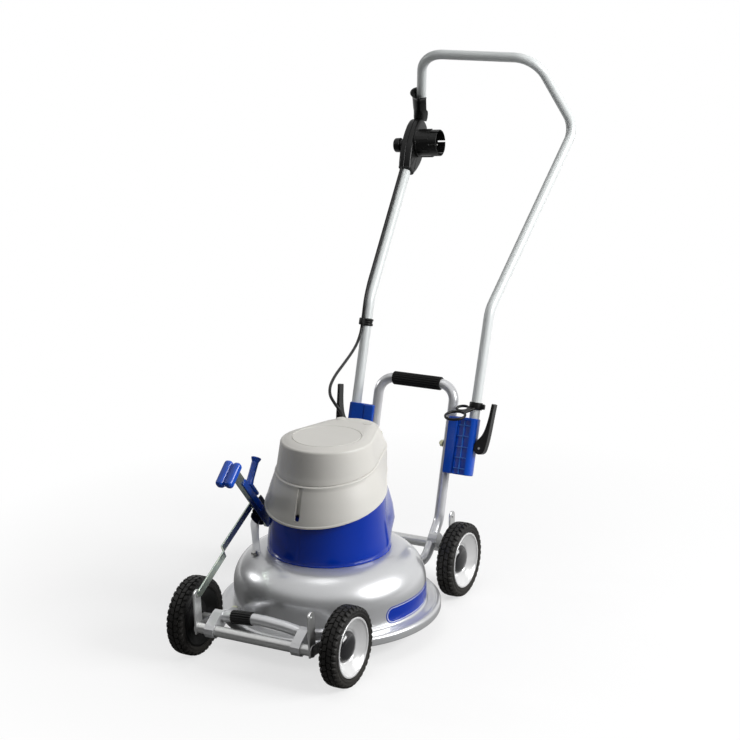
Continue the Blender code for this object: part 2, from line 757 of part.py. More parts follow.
def make_motor(assembly):
    """Make the motor: its flange, stator, bell and bearings, and the rotor with fan and blade."""
    seat = DECK_SEAT_TOP + GAP
    flange_top = seat + FLANGE_THICKNESS
    race = BEARING_RADIUS + GAP
    lower_top = BEARING_SEAT + BEARING_HEIGHT
    flange = turned("motor_flange", [
        (0.012, seat), (FLANGE_RADIUS, seat), (FLANGE_RADIUS, flange_top),
        (race + 0.006, flange_top), (race + 0.006, lower_top + 0.002), (race, lower_top + 0.002),
        (race, BEARING_SEAT - GAP), (0.012, BEARING_SEAT - GAP),
    ], 20, STEEL)
    upper_low = BELL_TOP - 0.007
    upper_top = upper_low + BEARING_HEIGHT
    bell_low = flange_top + GAP
    bell = turned("motor_bell", [
        (BELL_RADIUS, bell_low), (BELL_RADIUS, BELL_TOP - 0.004), (BELL_RADIUS - 0.003, BELL_TOP),
        (race + 0.006, BELL_TOP), (race + 0.006, upper_top + 0.003), (0.010, upper_top + 0.003),
        (0.010, upper_top + GAP), (race, upper_top + GAP), (race, upper_low - 0.001),
        (race + 0.003, upper_low - 0.001), (race + 0.003, BELL_TOP - 0.003),
        (BELL_RADIUS - BELL_WALL, BELL_TOP - 0.003), (BELL_RADIUS - BELL_WALL, bell_low),
    ], 20, STEEL)
    stator_radius = BELL_RADIUS - BELL_WALL - GAP - 0.0006
    stator = turned("stator", [
        (STATOR_BORE, 0.200), (stator_radius, 0.200), (stator_radius, 0.262), (STATOR_BORE, 0.262),
    ], 20, COPPER)
    assembly.hang(flange)
    assembly.hang(bell)
    assembly.hang(stator)
    inner = SHAFT_RADIUS + GAP
    for name, low in (("lower_bearing", BEARING_SEAT), ("upper_bearing", upper_low)):
        assembly.hang(turned(name, [
            (inner, low), (BEARING_RADIUS, low), (BEARING_RADIUS, low + BEARING_HEIGHT),
            (inner, low + BEARING_HEIGHT),
        ], 20, STEEL))

    assembly.pivot("rotor_axis", (0, 0, BLADE_Z))
    blade_top = BLADE_Z + BLADE_THICKNESS
    shaft = turned("rotor_shaft", [
        (0, BLADE_Z - 0.009), (SHAFT_RADIUS, BLADE_Z - 0.009), (SHAFT_RADIUS, blade_top + GAP),
        (0.013, blade_top + GAP), (0.013, blade_top + 0.010), (SHAFT_RADIUS, blade_top + 0.010),
        (SHAFT_RADIUS, 0.202), (ROTOR_RADIUS, 0.202), (ROTOR_RADIUS, 0.260), (SHAFT_RADIUS, 0.260),
        (SHAFT_RADIUS, SHAFT_TOP), (0, SHAFT_TOP),
    ], 20, STEEL)
    nut_bore = inner / math.cos(math.pi / 6)
    nut = turned("blade_nut", [
        (nut_bore, BLADE_Z - GAP), (0.0105, BLADE_Z - GAP), (0.0105, BLADE_Z - 0.0075),
        (nut_bore, BLADE_Z - 0.0075),
    ], 6, STEEL)
    blade = block("blade", (BLADE_LENGTH, BLADE_WIDTH, BLADE_THICKNESS),
                  Matrix.Translation((0, 0, BLADE_Z + BLADE_THICKNESS / 2)), STEEL)
    cut(blade, rod("hole", (0, 0, BLADE_Z - 0.01), (0, 0, BLADE_Z + 0.01), inner + GAP, 16))
    fan_low = upper_top + 0.006
    fan = turned("cooling_fan", [
        (inner, fan_low), (0.012, fan_low), (0.012, fan_low + 0.004), (FAN_RADIUS, fan_low + 0.004),
        (FAN_RADIUS, fan_low + 0.0065), (0.012, fan_low + 0.0065), (0.012, fan_low + 0.014),
        (inner, fan_low + 0.014),
    ], 24, BLACK)
    vanes = []
    for index in range(FAN_BLADES):
        turn = Matrix.Rotation(math.tau * (index + 0.25) / FAN_BLADES, 4, "Z")
        centre = Matrix.Translation(((FAN_RADIUS + 0.010) / 2, 0, fan_low + 0.0100))
        vanes.append(block(f"vane_{index}", (FAN_RADIUS - 0.012, 0.0018, 0.0085), turn @ centre))
    join(fan, *vanes)
    for thing in (shaft, nut, blade, fan):
        assembly.hang(thing, "rotor_axis")


def make_wheel(assembly, label, side, centre_y, parent):
    """Make one wheel: tyre, dished rim and hub cap, turned about the X axis."""
    centre = Vector((side * WHEEL_X, centre_y, WHEEL_RADIUS))
    axis_name = f"{label}_wheel_axis"
    assembly.pivot(axis_name, centre, parent)
    turn = Matrix.Rotation(side * math.pi / 2, 4, "Y")
    half = TYRE_WIDTH / 2
    segments = 32
    reach = WHEEL_RADIUS / math.cos(math.pi / segments)
    shoulder = reach - TYRE_SHOULDER_DROP
    crown = TYRE_CROWN_WIDTH / 2
    facet = math.pi / segments
    tyre = turned(f"{label}_tyre", [
        (RIM_RADIUS, -half), (shoulder, -half), (reach, -crown), (reach, crown), (shoulder, half),
        (RIM_RADIUS, half),
    ], segments, RUBBER, centre, turn, facet)
    rim_reach = (RIM_RADIUS - GAP) * math.cos(facet)
    floor = half - 0.001 - HUB_DISH_DEPTH
    bore = STUB_RADIUS + RUNNING_GAP
    rim = turned(f"{label}_rim", [
        (bore, -half), (0.014, -half), (0.014, -0.006), (HUB_DISH_RADIUS, -0.006),
        (rim_reach - 0.003, -half + 0.001), (rim_reach, -half + 0.001), (rim_reach, half - 0.001),
        (rim_reach - 0.0025, half - 0.001), (HUB_DISH_RADIUS, floor), (bore, floor),
    ], 20, WHITE, centre, turn, facet)
    cap = turned(f"{label}_hub_cap", [
        (0, floor + GAP), (HUB_CAP_RADIUS, floor + GAP), (HUB_CAP_RADIUS - 0.0005, floor + 0.003),
        (HUB_CAP_RADIUS - 0.006, floor + HUB_CAP_HEIGHT - 0.0025),
        (HUB_CAP_RADIUS * 0.5, floor + HUB_CAP_HEIGHT - 0.0006), (0, floor + HUB_CAP_HEIGHT),
    ], 16, BLACK, centre, turn)
    for thing in (tyre, rim, cap):
        assembly.hang(thing, axis_name)


def make_axle(assembly, label, axle, wheel_y, drop_arm):
    """Make an axle: a tube across the mower with a cranked arm and a wheel stub at each end."""
    axis_name = f"{label}_axle_axis"
    assembly.pivot(axis_name, axle)
    inner_x = ARM_X - ARM_THICKNESS / 2
    outer_x = ARM_X + ARM_THICKNESS / 2
    ends = [axle + Vector((side * (inner_x + 0.001), 0, 0)) for side in (-1, 1)]
    body = tube(f"{label}_axle", ends, TUBE_RADIUS, TUBE_RADIUS - TUBE_WALL, 12, ZINC)
    away = math.copysign(1.0, axle.y)
    top = (axle.y + away * ARM_TOP_LEAN, ARM_TOP_Z - ARM_HALF_WIDTH)
    crank = [top, (axle.y, axle.z), (wheel_y, WHEEL_RADIUS)]
    stub_start = WHEEL_X - TYRE_WIDTH / 2 - 0.001
    stub_end = WHEEL_OUTER_X - 0.001 - HUB_DISH_DEPTH - RUNNING_GAP
    pieces = []
    for side in (-1, 1):
        outline = strap_outline(crank, ARM_HALF_WIDTH + 0.0035)
        arm = plate("arm", outline, side * inner_x, side * outer_x)
        hole = rod("hole", (side * (inner_x - 0.01), *top), (side * (outer_x + 0.01), *top), 0.003, 12)
        cut(arm, hole)
        pieces.append(arm)
        start = (side * (outer_x - 0.001), wheel_y, WHEEL_RADIUS)
        shoulder = (side * (stub_start - RUNNING_GAP), wheel_y, WHEEL_RADIUS)
        pieces.append(rod("shoulder", start, shoulder, STUB_RADIUS + 0.004, 14))
        pieces.append(rod("stub", start, (side * stub_end, wheel_y, WHEEL_RADIUS), STUB_RADIUS, 14))
    if drop_arm:
        low = (axle.y + REAR_DROP_ARM[0], axle.z + REAR_DROP_ARM[1])
        outline = strap_outline([(axle.y, axle.z), low], ARM_HALF_WIDTH - 0.001)
        pieces.append(plate("drop", outline, -(outer_x - 0.0004), -(inner_x + 0.0004)))
    join(body, *pieces)
    cut(body, rod("hole", (-ARM_X - 0.01, axle.y, axle.z), (ARM_X + 0.01, axle.y, axle.z), 0.006, 12))
    assembly.hang(body, axis_name)
    for side, word in ((1, "left"), (-1, "right")):
        make_wheel(assembly, f"{label}_{word}", side, wheel_y, axis_name)


def make_bearings(assembly, label, axle, carrier, carrier_point):
    """Make the two saddles that carry an axle tube below a tube of the frame."""
    start = Vector((axle.y, axle.z))
    end = Vector(carrier_point)
    for side, word in ((1, "left"), (-1, "right")):
        x_from = side * (BEARING_X - BEARING_WIDTH / 2)
        x_to = side * (BEARING_X + BEARING_WIDTH / 2)
        outline = strap_outline([start, end], BEARING_HALF_WIDTH)
        saddle = plate(f"{label}_bearing_{word}", outline, x_from, x_to, BLACK)
        across = [axle + Vector((-0.2, 0, 0)), axle + Vector((0.2, 0, 0))]
        cut(saddle, around(across, gap=RUNNING_GAP), around(carrier))
        assembly.hang(saddle)


def make_chassis_tubes(assembly):
    """Make the carry frame with its grip and the front loop with its sleeve."""
    frame = frame_path()
    carry = tube("carry_frame", frame, TUBE_RADIUS, TUBE_RADIUS - TUBE_WALL, finishes=SILVER)
    middle = length_of(frame) / 2
    grip_path = stretch(frame, middle - GRIP_LENGTH / 2, middle + GRIP_LENGTH / 2)
    grip_bore = (TUBE_RADIUS + GAP) / math.cos(math.pi / TUBE_SIDES)
    grip = tube("carry_grip", grip_path, GRIP_RADIUS, grip_bore, finishes=BLACK)
    loop_line = loop_path()
    loop = tube("front_loop", loop_line, TUBE_RADIUS, TUBE_RADIUS - TUBE_WALL, finishes=SILVER)
    start = length_of(loop_line) / 2 + LOOP_SLEEVE_FROM
    sleeve_path = stretch(loop_line, start, start + LOOP_SLEEVE_LENGTH)
    sleeve = tube("front_loop_sleeve", sleeve_path, LOOP_SLEEVE_RADIUS, grip_bore, finishes=BLACK)
    bolt_hole = [rod("hole", (side * 0.06, PIVOT_Y, PIVOT_Z), (side * 0.12, PIVOT_Y, PIVOT_Z),
                     BOLT_RADIUS + 2 * GAP, 16) for side in (-1, 1)]
    cut(carry, *bolt_hole)
    for thing in (carry, grip, loop, sleeve):
        assembly.hang(thing)
    return frame, loop_line


def make_clamp(assembly, side, word, frame, handle):
    """Make one side's clamp: frame bracket, handle socket, bolt with nut, and cam lever."""
    pivot = Vector((0, PIVOT_Y, PIVOT_Z))
    across = Vector((1, 0, 0))
    depth_way = across.cross(LEAN)
    low = Vector(HANDLE_LOW_BEND)
    handle_way = Vector((0, low.y - PIVOT_Y, low.z - PIVOT_Z)).normalized()
    inner_x = FRAME_X
    middle_x = (inner_x + BRACKET_SPLIT_X - GAP) / 2
    bracket_frame = frame_of(pivot + across * side * middle_x, across, depth_way, LEAN)
    size = (BRACKET_SPLIT_X - GAP - inner_x, BRACKET_DEPTH, BRACKET_LENGTH)
    bracket = block(f"frame_bracket_{word}", size, bracket_frame, BLUE)
    hole_start = pivot + across * side * (FRAME_X - 0.02)
    hole_end = pivot + across * side * (SOCKET_OUTER_X + 0.02)
    hole_radius = BOLT_RADIUS + 2 * GAP
    cut(bracket, around(frame), rod("hole", hole_start, hole_end, hole_radius, 16))

    socket_way = across.cross(handle_way)
    middle_x = (BRACKET_SPLIT_X + GAP + SOCKET_OUTER_X) / 2
    socket_frame = frame_of(pivot + across * side * middle_x, across, socket_way, handle_way)
    size = (SOCKET_OUTER_X - BRACKET_SPLIT_X - GAP, BRACKET_DEPTH, BRACKET_LENGTH)
    socket = block(f"handle_socket_{word}", size, socket_frame, BLUE, bevel=0.002)
    cut(socket, around(handle), rod("hole", hole_start, hole_end, hole_radius, 16))

    nut_inner = FRAME_X - TUBE_RADIUS - GAP - NUT_LENGTH
    bolt = turned(f"clamp_bolt_{word}", [
        (0, nut_inner - 0.003), (BOLT_RADIUS, nut_inner - 0.003), (BOLT_RADIUS, nut_inner),
        (NUT_RADIUS, nut_inner), (NUT_RADIUS, nut_inner + NUT_LENGTH),
        (BOLT_RADIUS, nut_inner + NUT_LENGTH), (BOLT_RADIUS, SOCKET_OUTER_X), (0, SOCKET_OUTER_X),
    ], 12, STEEL, pivot, Matrix.Rotation(side * math.pi / 2, 4, "Y"))

    axis_name = f"clamp_lever_{word}_axis"
    cam_centre = pivot + across * side * CAM_X
    assembly.pivot(axis_name, cam_centre)
    lever = rod(f"clamp_lever_{word}", cam_centre - depth_way * CAM_WIDTH / 2,
                cam_centre + depth_way * CAM_WIDTH / 2, CAM_RADIUS, 16, BLACK)
    faces = []
    for end in (-1, 1):
        centre = cam_centre + depth_way * end * (CAM_WIDTH / 2 - 0.001)
        faces.append([centre + across * side * out + LEAN * along for out, along in CAM_LEVER_OUTLINE])
    join(lever, finish("blade", loft(faces), None))
    assembly.hang(lever, axis_name)
    assembly.hang(bracket)
    assembly.hang(bolt)
    assembly.hang(socket, "handle_fold_axis")


def make_handlebar(assembly, handle):
    """Make the handlebar with a hole for each clamp bolt."""
    bar = tube("handlebar", handle, TUBE_RADIUS, TUBE_RADIUS - TUBE_WALL, finishes=ZINC)
    holes = [rod("hole", (side * 0.12, PIVOT_Y, PIVOT_Z), (side * 0.17, PIVOT_Y, PIVOT_Z),
                 BOLT_RADIUS + 2 * GAP, 16) for side in (-1, 1)]
    cut(bar, *holes)
    assembly.hang(bar, "handle_fold_axis")


def right_leg(handle):
    """Return the handlebar's path from the lower end of its right leg."""
    return list(reversed(handle))


def box_frame():
    """Return the origin and directions of the switch box: along the tube, forward and inward."""
    low = Vector(HANDLE_LOW_BEND)
    up = Vector(HANDLE_UP_BEND)
    low.x, up.x = -low.x, -up.x
    along = (up - low).normalized()
    centre = low.lerp(up, BOX_ALONG)
    inward = (Vector((1, 0, 0)) - along * along.x).normalized()
    forward = inward.cross(along)
    return centre, along, forward, inward


def make_switch_box(assembly, handle):
    """Make the switch box in two halves with its button, plug inlet and start paddle."""
    centre, along, forward, inward = box_frame()
    base = frame_of(centre, along, forward, inward)
    half = BOX_THICKNESS / 2
    pocket = (0.048, 0.018, half - BOX_WALL)
    for name, sign in (("switch_case_outer", -1), ("switch_case_inner", 1)):
        shift = Matrix.Translation((0, 0, sign * (half + GAP / 2) / 2))
        case = block(name, (BOX_LENGTH, BOX_DEPTH, half - GAP / 2), base @ shift, BLACK, bevel=0.003)
        hollow_shift = Matrix.Translation((0, -0.023, sign * (half - BOX_WALL) / 2))
        cut(case, around(handle), block("hollow", pocket, base @ hollow_shift))
        if sign < 0:
            at = Matrix.Translation((*BUTTON_PLACE, 0))
            start = (base @ at) @ Vector((0, 0, -(half - 0.001)))
            end = (base @ at) @ Vector((0, 0, -(half + COLLAR_HEIGHT)))
            join(case, rod("collar", start, end, BUTTON_RADIUS - 0.004, 20))
        assembly.hang(case, "handle_fold_axis")

    button_at = base @ Matrix.Translation((*BUTTON_PLACE, -(half + BUTTON_TRAVEL + 0.001)))
    assembly.pivot("safety_button_axis", button_at.translation, "handle_fold_axis")
    skirt = BUTTON_RADIUS - 0.004 + RUNNING_GAP
    floor = COLLAR_HEIGHT
    button = turned("safety_button", [
        (skirt, 0), (BUTTON_RADIUS, 0), (BUTTON_RADIUS, BUTTON_HEIGHT - 0.0015),
        (BUTTON_RADIUS - 0.0015, BUTTON_HEIGHT), (0, BUTTON_HEIGHT), (0, floor), (skirt, floor),
    ], 24, BLACK, turn=button_at @ Matrix.Rotation(math.pi, 4, "X"))
    assembly.hang(button, "safety_button_axis")

    inlet_at = base @ Matrix.Translation((*INLET_PLACE, half + GAP))
    bore = INLET_RADIUS - INLET_WALL
    inlet = turned("plug_inlet", [
        (0, 0), (INLET_RADIUS, 0), (INLET_RADIUS, INLET_LENGTH), (bore, INLET_LENGTH), (bore, 0.004),
        (0.0165, 0.004), (0.0165, 0.028), (0, 0.028),
    ], 28, BLACK, turn=inlet_at)
    slots = []
    for index, turn in enumerate((0.0, math.radians(60), math.radians(120))):
        at = Matrix.Rotation(turn, 4, "Z") @ Matrix.Translation((0, 0, INLET_LENGTH))
        size = (3 * INLET_RADIUS, INLET_SLOT_WIDTH, 2 * INLET_SLOT_DEPTH)
        slots.append(block(f"slot_{index}", size, inlet_at @ at))
    cut(inlet, *slots)
    prongs = []
    for sign in (-1, 1):
        start = inlet_at @ Vector((0, sign * 0.0075, 0.026))
        end = inlet_at @ Vector((0, sign * 0.0075, 0.045))
        prongs.append(rod("prong", start, end, 0.002, 8))
    join(inlet, *prongs)
    assembly.hang(inlet, "handle_fold_axis")

    leg = right_leg(handle)
    box_start = distance_along(leg, centre)
    start = box_start + BOX_LENGTH / 2 + PADDLE_FROM_BOX
    path = stretch(leg, start, start + PADDLE_LENGTH)
    assembly.pivot("start_paddle_axis", path[0], "handle_fold_axis")
    rings = []
    total = length_of(path)
    passed = 0.0
    for index, (point, (tangent, _, _)) in enumerate(zip(path, section_frames(path))):
        if index:
            passed += (point - path[index - 1]).length
        share = passed / total
        front = Vector((0, -1, 0.3))
        front = (front - tangent * front.dot(tangent)).normalized()
        side = tangent.cross(front)
        middle = point + front * PADDLE_STANDOFF * share
        inner = (TUBE_RADIUS + GAP) / math.cos(math.radians(15)) + 0.0006 * share
        angles = [math.radians(a) for a in (-88, -58, -29, 0, 29, 58, 88)]
        outline = [middle + (inner + PADDLE_WALL) * (math.cos(a) * front + math.sin(a) * side)
                   for a in angles]
        outline += [middle + inner * (math.cos(a) * front + math.sin(a) * side)
                    for a in reversed(angles)]
        rings.append(outline)
    paddle = finish("start_paddle", loft(rings), BLACK)
    assembly.hang(paddle, "start_paddle_axis")


def distance_along(path, place):
    """Return the distance along a path of the point nearest to a place."""
    best = (float("inf"), 0.0)
    passed = 0.0
    for before, after in zip(path, path[1:]):
        step = after - before
        share = min(1.0, max(0.0, (place - before).dot(step) / step.length_squared))
        gap = (before + step * share - place).length
        best = min(best, (gap, passed + share * step.length))
        passed += step.length
    return best[1]


def cable_side(tangent):
    """Return the direction from the handle tube to the cable beside it."""
    side = Vector((-0.28, -0.95, 0.1))
    return (side - tangent * side.dot(tangent)).normalized()


def cable_route(leg, box_distance):
    """Return the cable's smooth route from the gland to the switch box."""
    lean = Vector(GLAND_LEAN).normalized()
    start = Vector(GLAND_PLACE) + lean * (GLAND_OUTSIDE + GAP)
    straight = [start + lean * CABLE_RADIUS * step for step in (0, 1, 2)]
    points = straight + [Vector(point) for point in CABLE_BOW]
    first = distance_along(leg, Vector((-HANDLE_X, PIVOT_Y, PIVOT_Z))) + CLIP_ALONG
    last = box_distance - BOX_LENGTH / 2 - GAP
    beside = TUBE_RADIUS + CABLE_RADIUS + 3 * GAP
    steps = 12
    for step in range(steps + 1):
        distance = first + (last - first) * step / steps
        here, ahead = stretch(leg, distance, distance + 0.001)[:2]
        tangent = (ahead - here).normalized()
        points.append(here + cable_side(tangent) * beside)
    return smooth_route(points, 5 * CABLE_RADIUS)


def smooth_route(points, spacing):
    """Return evenly spaced points on a Catmull-Rom curve through the given points."""
    padded = [points[0] * 2 - points[1]] + points + [points[-1] * 2 - points[-2]]
    fine = []
    for a, b, c, d in zip(padded, padded[1:], padded[2:], padded[3:]):
        for step in range(8):
            t = step / 8
            fine.append(0.5 * (2 * b + (c - a) * t + (2 * a - 5 * b + 4 * c - d) * t * t
                               + (3 * b - 3 * c + d - a) * t ** 3))
    fine.append(points[-1])
    end = 2 * CABLE_RADIUS
    inner = length_of(fine) - 2 * end
    count = round(inner / spacing)
    route = [fine[0]]
    for index in range(count + 1):
        distance = end + inner * index / count
        route.append(stretch(fine, distance, distance + 1e-4)[0])
    return route + [fine[-1]]


def make_cable(assembly, handle):
    """Make the cable from the motor to the switch box and the clip that ties it to the tube."""
    leg = right_leg(handle)
    centre = box_frame()[0]
    route = cable_route(leg, distance_along(leg, centre))
    curve = bpy.data.curves.new("motor_cable", "CURVE")
    curve.dimensions = "3D"
    curve.bevel_depth = CABLE_RADIUS
    curve.bevel_resolution = 2
    curve.use_fill_caps = True
    spline = curve.splines.new("POLY")
    spline.points.add(len(route) - 1)
    for point, place in zip(spline.points, route):
        point.co = (*place, 1.0)
    curve.materials.append(make_material("motor_cable_finish", *BLACK))
    cable = bpy.data.objects.new("motor_cable", curve)
    bpy.context.scene.collection.objects.link(cable)
    assembly.hang(cable, "handle_fold_axis")

    first = distance_along(leg, Vector((-HANDLE_X, PIVOT_Y, PIVOT_Z))) + CLIP_ALONG
    here, ahead = stretch(leg, first + 0.012, first + 0.013)[:2]
    tangent = (ahead - here).normalized()
    side = cable_side(tangent)
    other = tangent.cross(side)
    reach = TUBE_RADIUS + 0.0025
    far = TUBE_RADIUS + 2 * CABLE_RADIUS + 0.003
    frame = frame_of(here + side * (far - reach) / 2, side, other, tangent)
    clip = block("cable_clip", (far + reach, 2 * reach, CLIP_LENGTH), frame, BLACK, bevel=0.002)
    cable_cut = tube("cutter", route, CABLE_RADIUS + 2 * GAP, sides=12)
    cut(clip, around(handle), cable_cut)
    assembly.hang(clip, "handle_fold_axis")


def make_cord_hook(assembly, handle):
    """Make the cord hook: a sleeve on the left leg and two flat loops on an arm in front of it."""
    start = distance_along(handle, Vector((HANDLE_X, PIVOT_Y, PIVOT_Z))) + HOOK_ALONG
    here, ahead = stretch(handle, start, start + 0.001)[:2]
    along = (ahead - here).normalized()
    assembly.pivot("cord_hook_axis", here, "handle_fold_axis")
    reach = TUBE_RADIUS + HOOK_WALL
    ends = [here - along * HOOK_LENGTH / 2, here + along * HOOK_LENGTH / 2]
    hook = tube("cord_hook", ends, reach, sides=16, finishes=BLACK)
    inward = Vector((-1, 0, 0))
    forward = Vector((0, -math.cos(HOOK_TILT), -math.sin(HOOK_TILT)))
    up = inward.cross(forward)
    if up.z < 0:
        up = -up
    near, far = Vector((0, reach - 0.002)), Vector(HOOK_LOOPS[0][:2])
    way = (far - near).normalized()
    far = far - way * (HOOK_LOOPS[0][2] - 0.001)
    middle = (near + far) / 2
    length_way = inward * way.x + forward * way.y
    arm_frame = frame_of(here + inward * middle.x + forward * middle.y, length_way, up.cross(length_way), up)
    arm = block("arm", ((far - near).length, *HOOK_ARM), arm_frame)
    loops = []
    for index, (in_step, on_step, radius) in enumerate(HOOK_LOOPS):
        centre = here + inward * in_step + forward * on_step
        rings = []
        for step in range(HOOK_LOOP_SIDES):
            a = math.tau * step / HOOK_LOOP_SIDES
            out = math.cos(a) * inward + math.sin(a) * forward
            around_rod = [math.tau * (turn + 0.5) / 6 for turn in range(6)]
            rings.append([centre + out * radius + HOOK_ROD * (math.cos(b) * out + math.sin(b) * up)
                          for b in around_rod])
        loops.append(finish(f"loop_{index}", loft(rings, closed=True), None))
    join(hook, arm, *loops)
    cut(hook, around(handle))
    assembly.hang(hook, "cord_hook_axis")


def lever_place(along, aside=0.0):
    """Return a place beside the height lever, measured from its pivot."""
    return LEVER_POINT + LEVER_WAY * along + LEVER_SIDE * aside


def make_height_lever(assembly):
    """Make the lever with knob and latch grip, its links, its quadrant and its bracket."""
    x = Vector((LEVER_X, 0, 0))
    outer_face = LEVER_X - LEVER_THICKNESS / 2
    inner_face = LEVER_X + LEVER_THICKNESS / 2
    assembly.pivot("height_lever_axis", LEVER_POINT + x)
    lever = ribbon("height_lever", [x + LEVER_POINT, x + lever_place(LEVER_LENGTH)],
                   LEVER_HALF_WIDTH, LEVER_THICKNESS, ZINC)
    pin_place = LEVER_POINT + Vector((0, *REAR_LINK_PIN))
    flat = [(point.y, point.z) for point in (lever_place(0.035), pin_place)]
    ear = plate("ear", strap_outline(flat, LEVER_HALF_WIDTH - 0.001),
                outer_face + 0.0004, inner_face - 0.0004)
    boss = rod("boss", LEVER_POINT + Vector((outer_face - 0.003, 0, 0)),
               LEVER_POINT + Vector((inner_face - 0.001, 0, 0)), 0.006, 12)
    join(lever, ear, boss)

    knob_centre = x + lever_place(LEVER_LENGTH - 0.004, -KNOB_FORWARD)
    knob_frame = frame_of(knob_centre, Vector((1, 0, 0)), LEVER_SIDE, LEVER_WAY)
    knob = block("lever_knob", KNOB_SIZE, knob_frame, BLUE, bevel=0.004)
    slot_centre = x + lever_place(LEVER_LENGTH / 2)
    slot_size = (LEVER_THICKNESS + 2 * GAP, 2 * (LEVER_HALF_WIDTH + GAP),
                 LEVER_LENGTH + 2 * LEVER_HALF_WIDTH + 2 * GAP)
    slot_frame = frame_of(slot_centre, Vector((1, 0, 0)), LEVER_SIDE, LEVER_WAY)
    cut(knob, block("slot", slot_size, slot_frame))

    assembly.pivot("latch_grip_axis", x + lever_place(PEG_AT), "height_lever_axis")
    strip_x = outer_face - GAP - STRIP_THICKNESS / 2
    offset = Vector((strip_x, 0, 0))
    strip = ribbon("latch_grip", [offset + lever_place(STRIP_FROM), offset + lever_place(STRIP_TO)],
                   LEVER_HALF_WIDTH - 0.001, STRIP_THICKNESS, BLUE)
    peg_x = Vector((strip_x + 0.001, 0, 0))
    clear = LEVER_HALF_WIDTH + 2 * GAP
    tab_frame = frame_of(offset + lever_place(PEG_AT, clear - 0.001), Vector((1, 0, 0)), LEVER_SIDE,
                         LEVER_WAY)
    tab = block("tab", (STRIP_THICKNESS - 0.0004, 0.012, 1.6 * PEG_RADIUS), tab_frame)
    peg_way = LEVER_SIDE * math.cos(PEG_TILT) + LEVER_WAY * math.sin(PEG_TILT)
    root = peg_x + lever_place(PEG_AT, clear + PEG_RADIUS * math.sin(PEG_TILT))
    top = root + peg_way * PEG_LENGTH
    peg = rod("peg", root, top, PEG_RADIUS, 12)
    end = rod("end", top - peg_way * 0.001, top + peg_way * 0.003, PEG_RADIUS + 0.0035, 16)
    join(strip, tab, peg, end)
    for thing, owner in ((lever, "height_lever_axis"), (knob, "height_lever_axis"),
                         (strip, "latch_grip_axis")):
        assembly.hang(thing, owner)

    arm_inner_x = -(ARM_X - ARM_THICKNESS / 2)
    low_x = arm_inner_x + RUNNING_GAP + LINK_THICKNESS / 2
    upper_x = inner_face + RUNNING_GAP + LINK_THICKNESS / 2
    start = lever_place(FRONT_LINK_REACH)
    top = Vector((0, FRONT_AXLE.y - ARM_TOP_LEAN, ARM_TOP_Z - ARM_HALF_WIDTH))
    make_link(assembly, "front_link", start, [start.lerp(top, 0.35), start.lerp(top, 0.62)], top,
              upper_x, low_x)

    rear_x = outer_face - RUNNING_GAP - LINK_THICKNESS / 2
    low = REAR_AXLE + Vector((0, *REAR_DROP_ARM))
    knee = Vector((0, *REAR_LINK_KNEE))
    make_link(assembly, "rear_link", pin_place, [knee, knee.lerp(low, 0.12), knee.lerp(low, 0.34)],
              low, rear_x, low_x)
    make_quadrant(assembly, upper_x)


def make_link(assembly, name, start, bends, end, start_x, end_x):
    """Make a flat link that joggles sideways before its last bend."""
    place = Vector((start_x, 0, 0)) + start
    assembly.pivot(f"{name}_axis", place, "height_lever_axis")
    xs = [start_x] + [start_x] * (len(bends) - 1) + [end_x, end_x]
    path = [Vector((px, point.y, point.z)) for px, point in zip(xs, [start] + bends + [end])]
    link = ribbon(name, path, LINK_HALF_WIDTH, LINK_THICKNESS, STEEL)
    head_side = math.copysign(1.0, start_x - LEVER_X)
    head = rod("head", Vector((start_x, start.y, start.z)),
               Vector((start_x + head_side * (LINK_THICKNESS / 2 + 0.0018), start.y, start.z)),
               0.0048, 12)
    foot = rod("foot", Vector((end_x, end.y, end.z)),
               Vector((end_x + LINK_THICKNESS / 2 + 0.0018, end.y, end.z)), 0.0048, 12)
    join(link, head, foot)
    assembly.hang(link, f"{name}_axis")


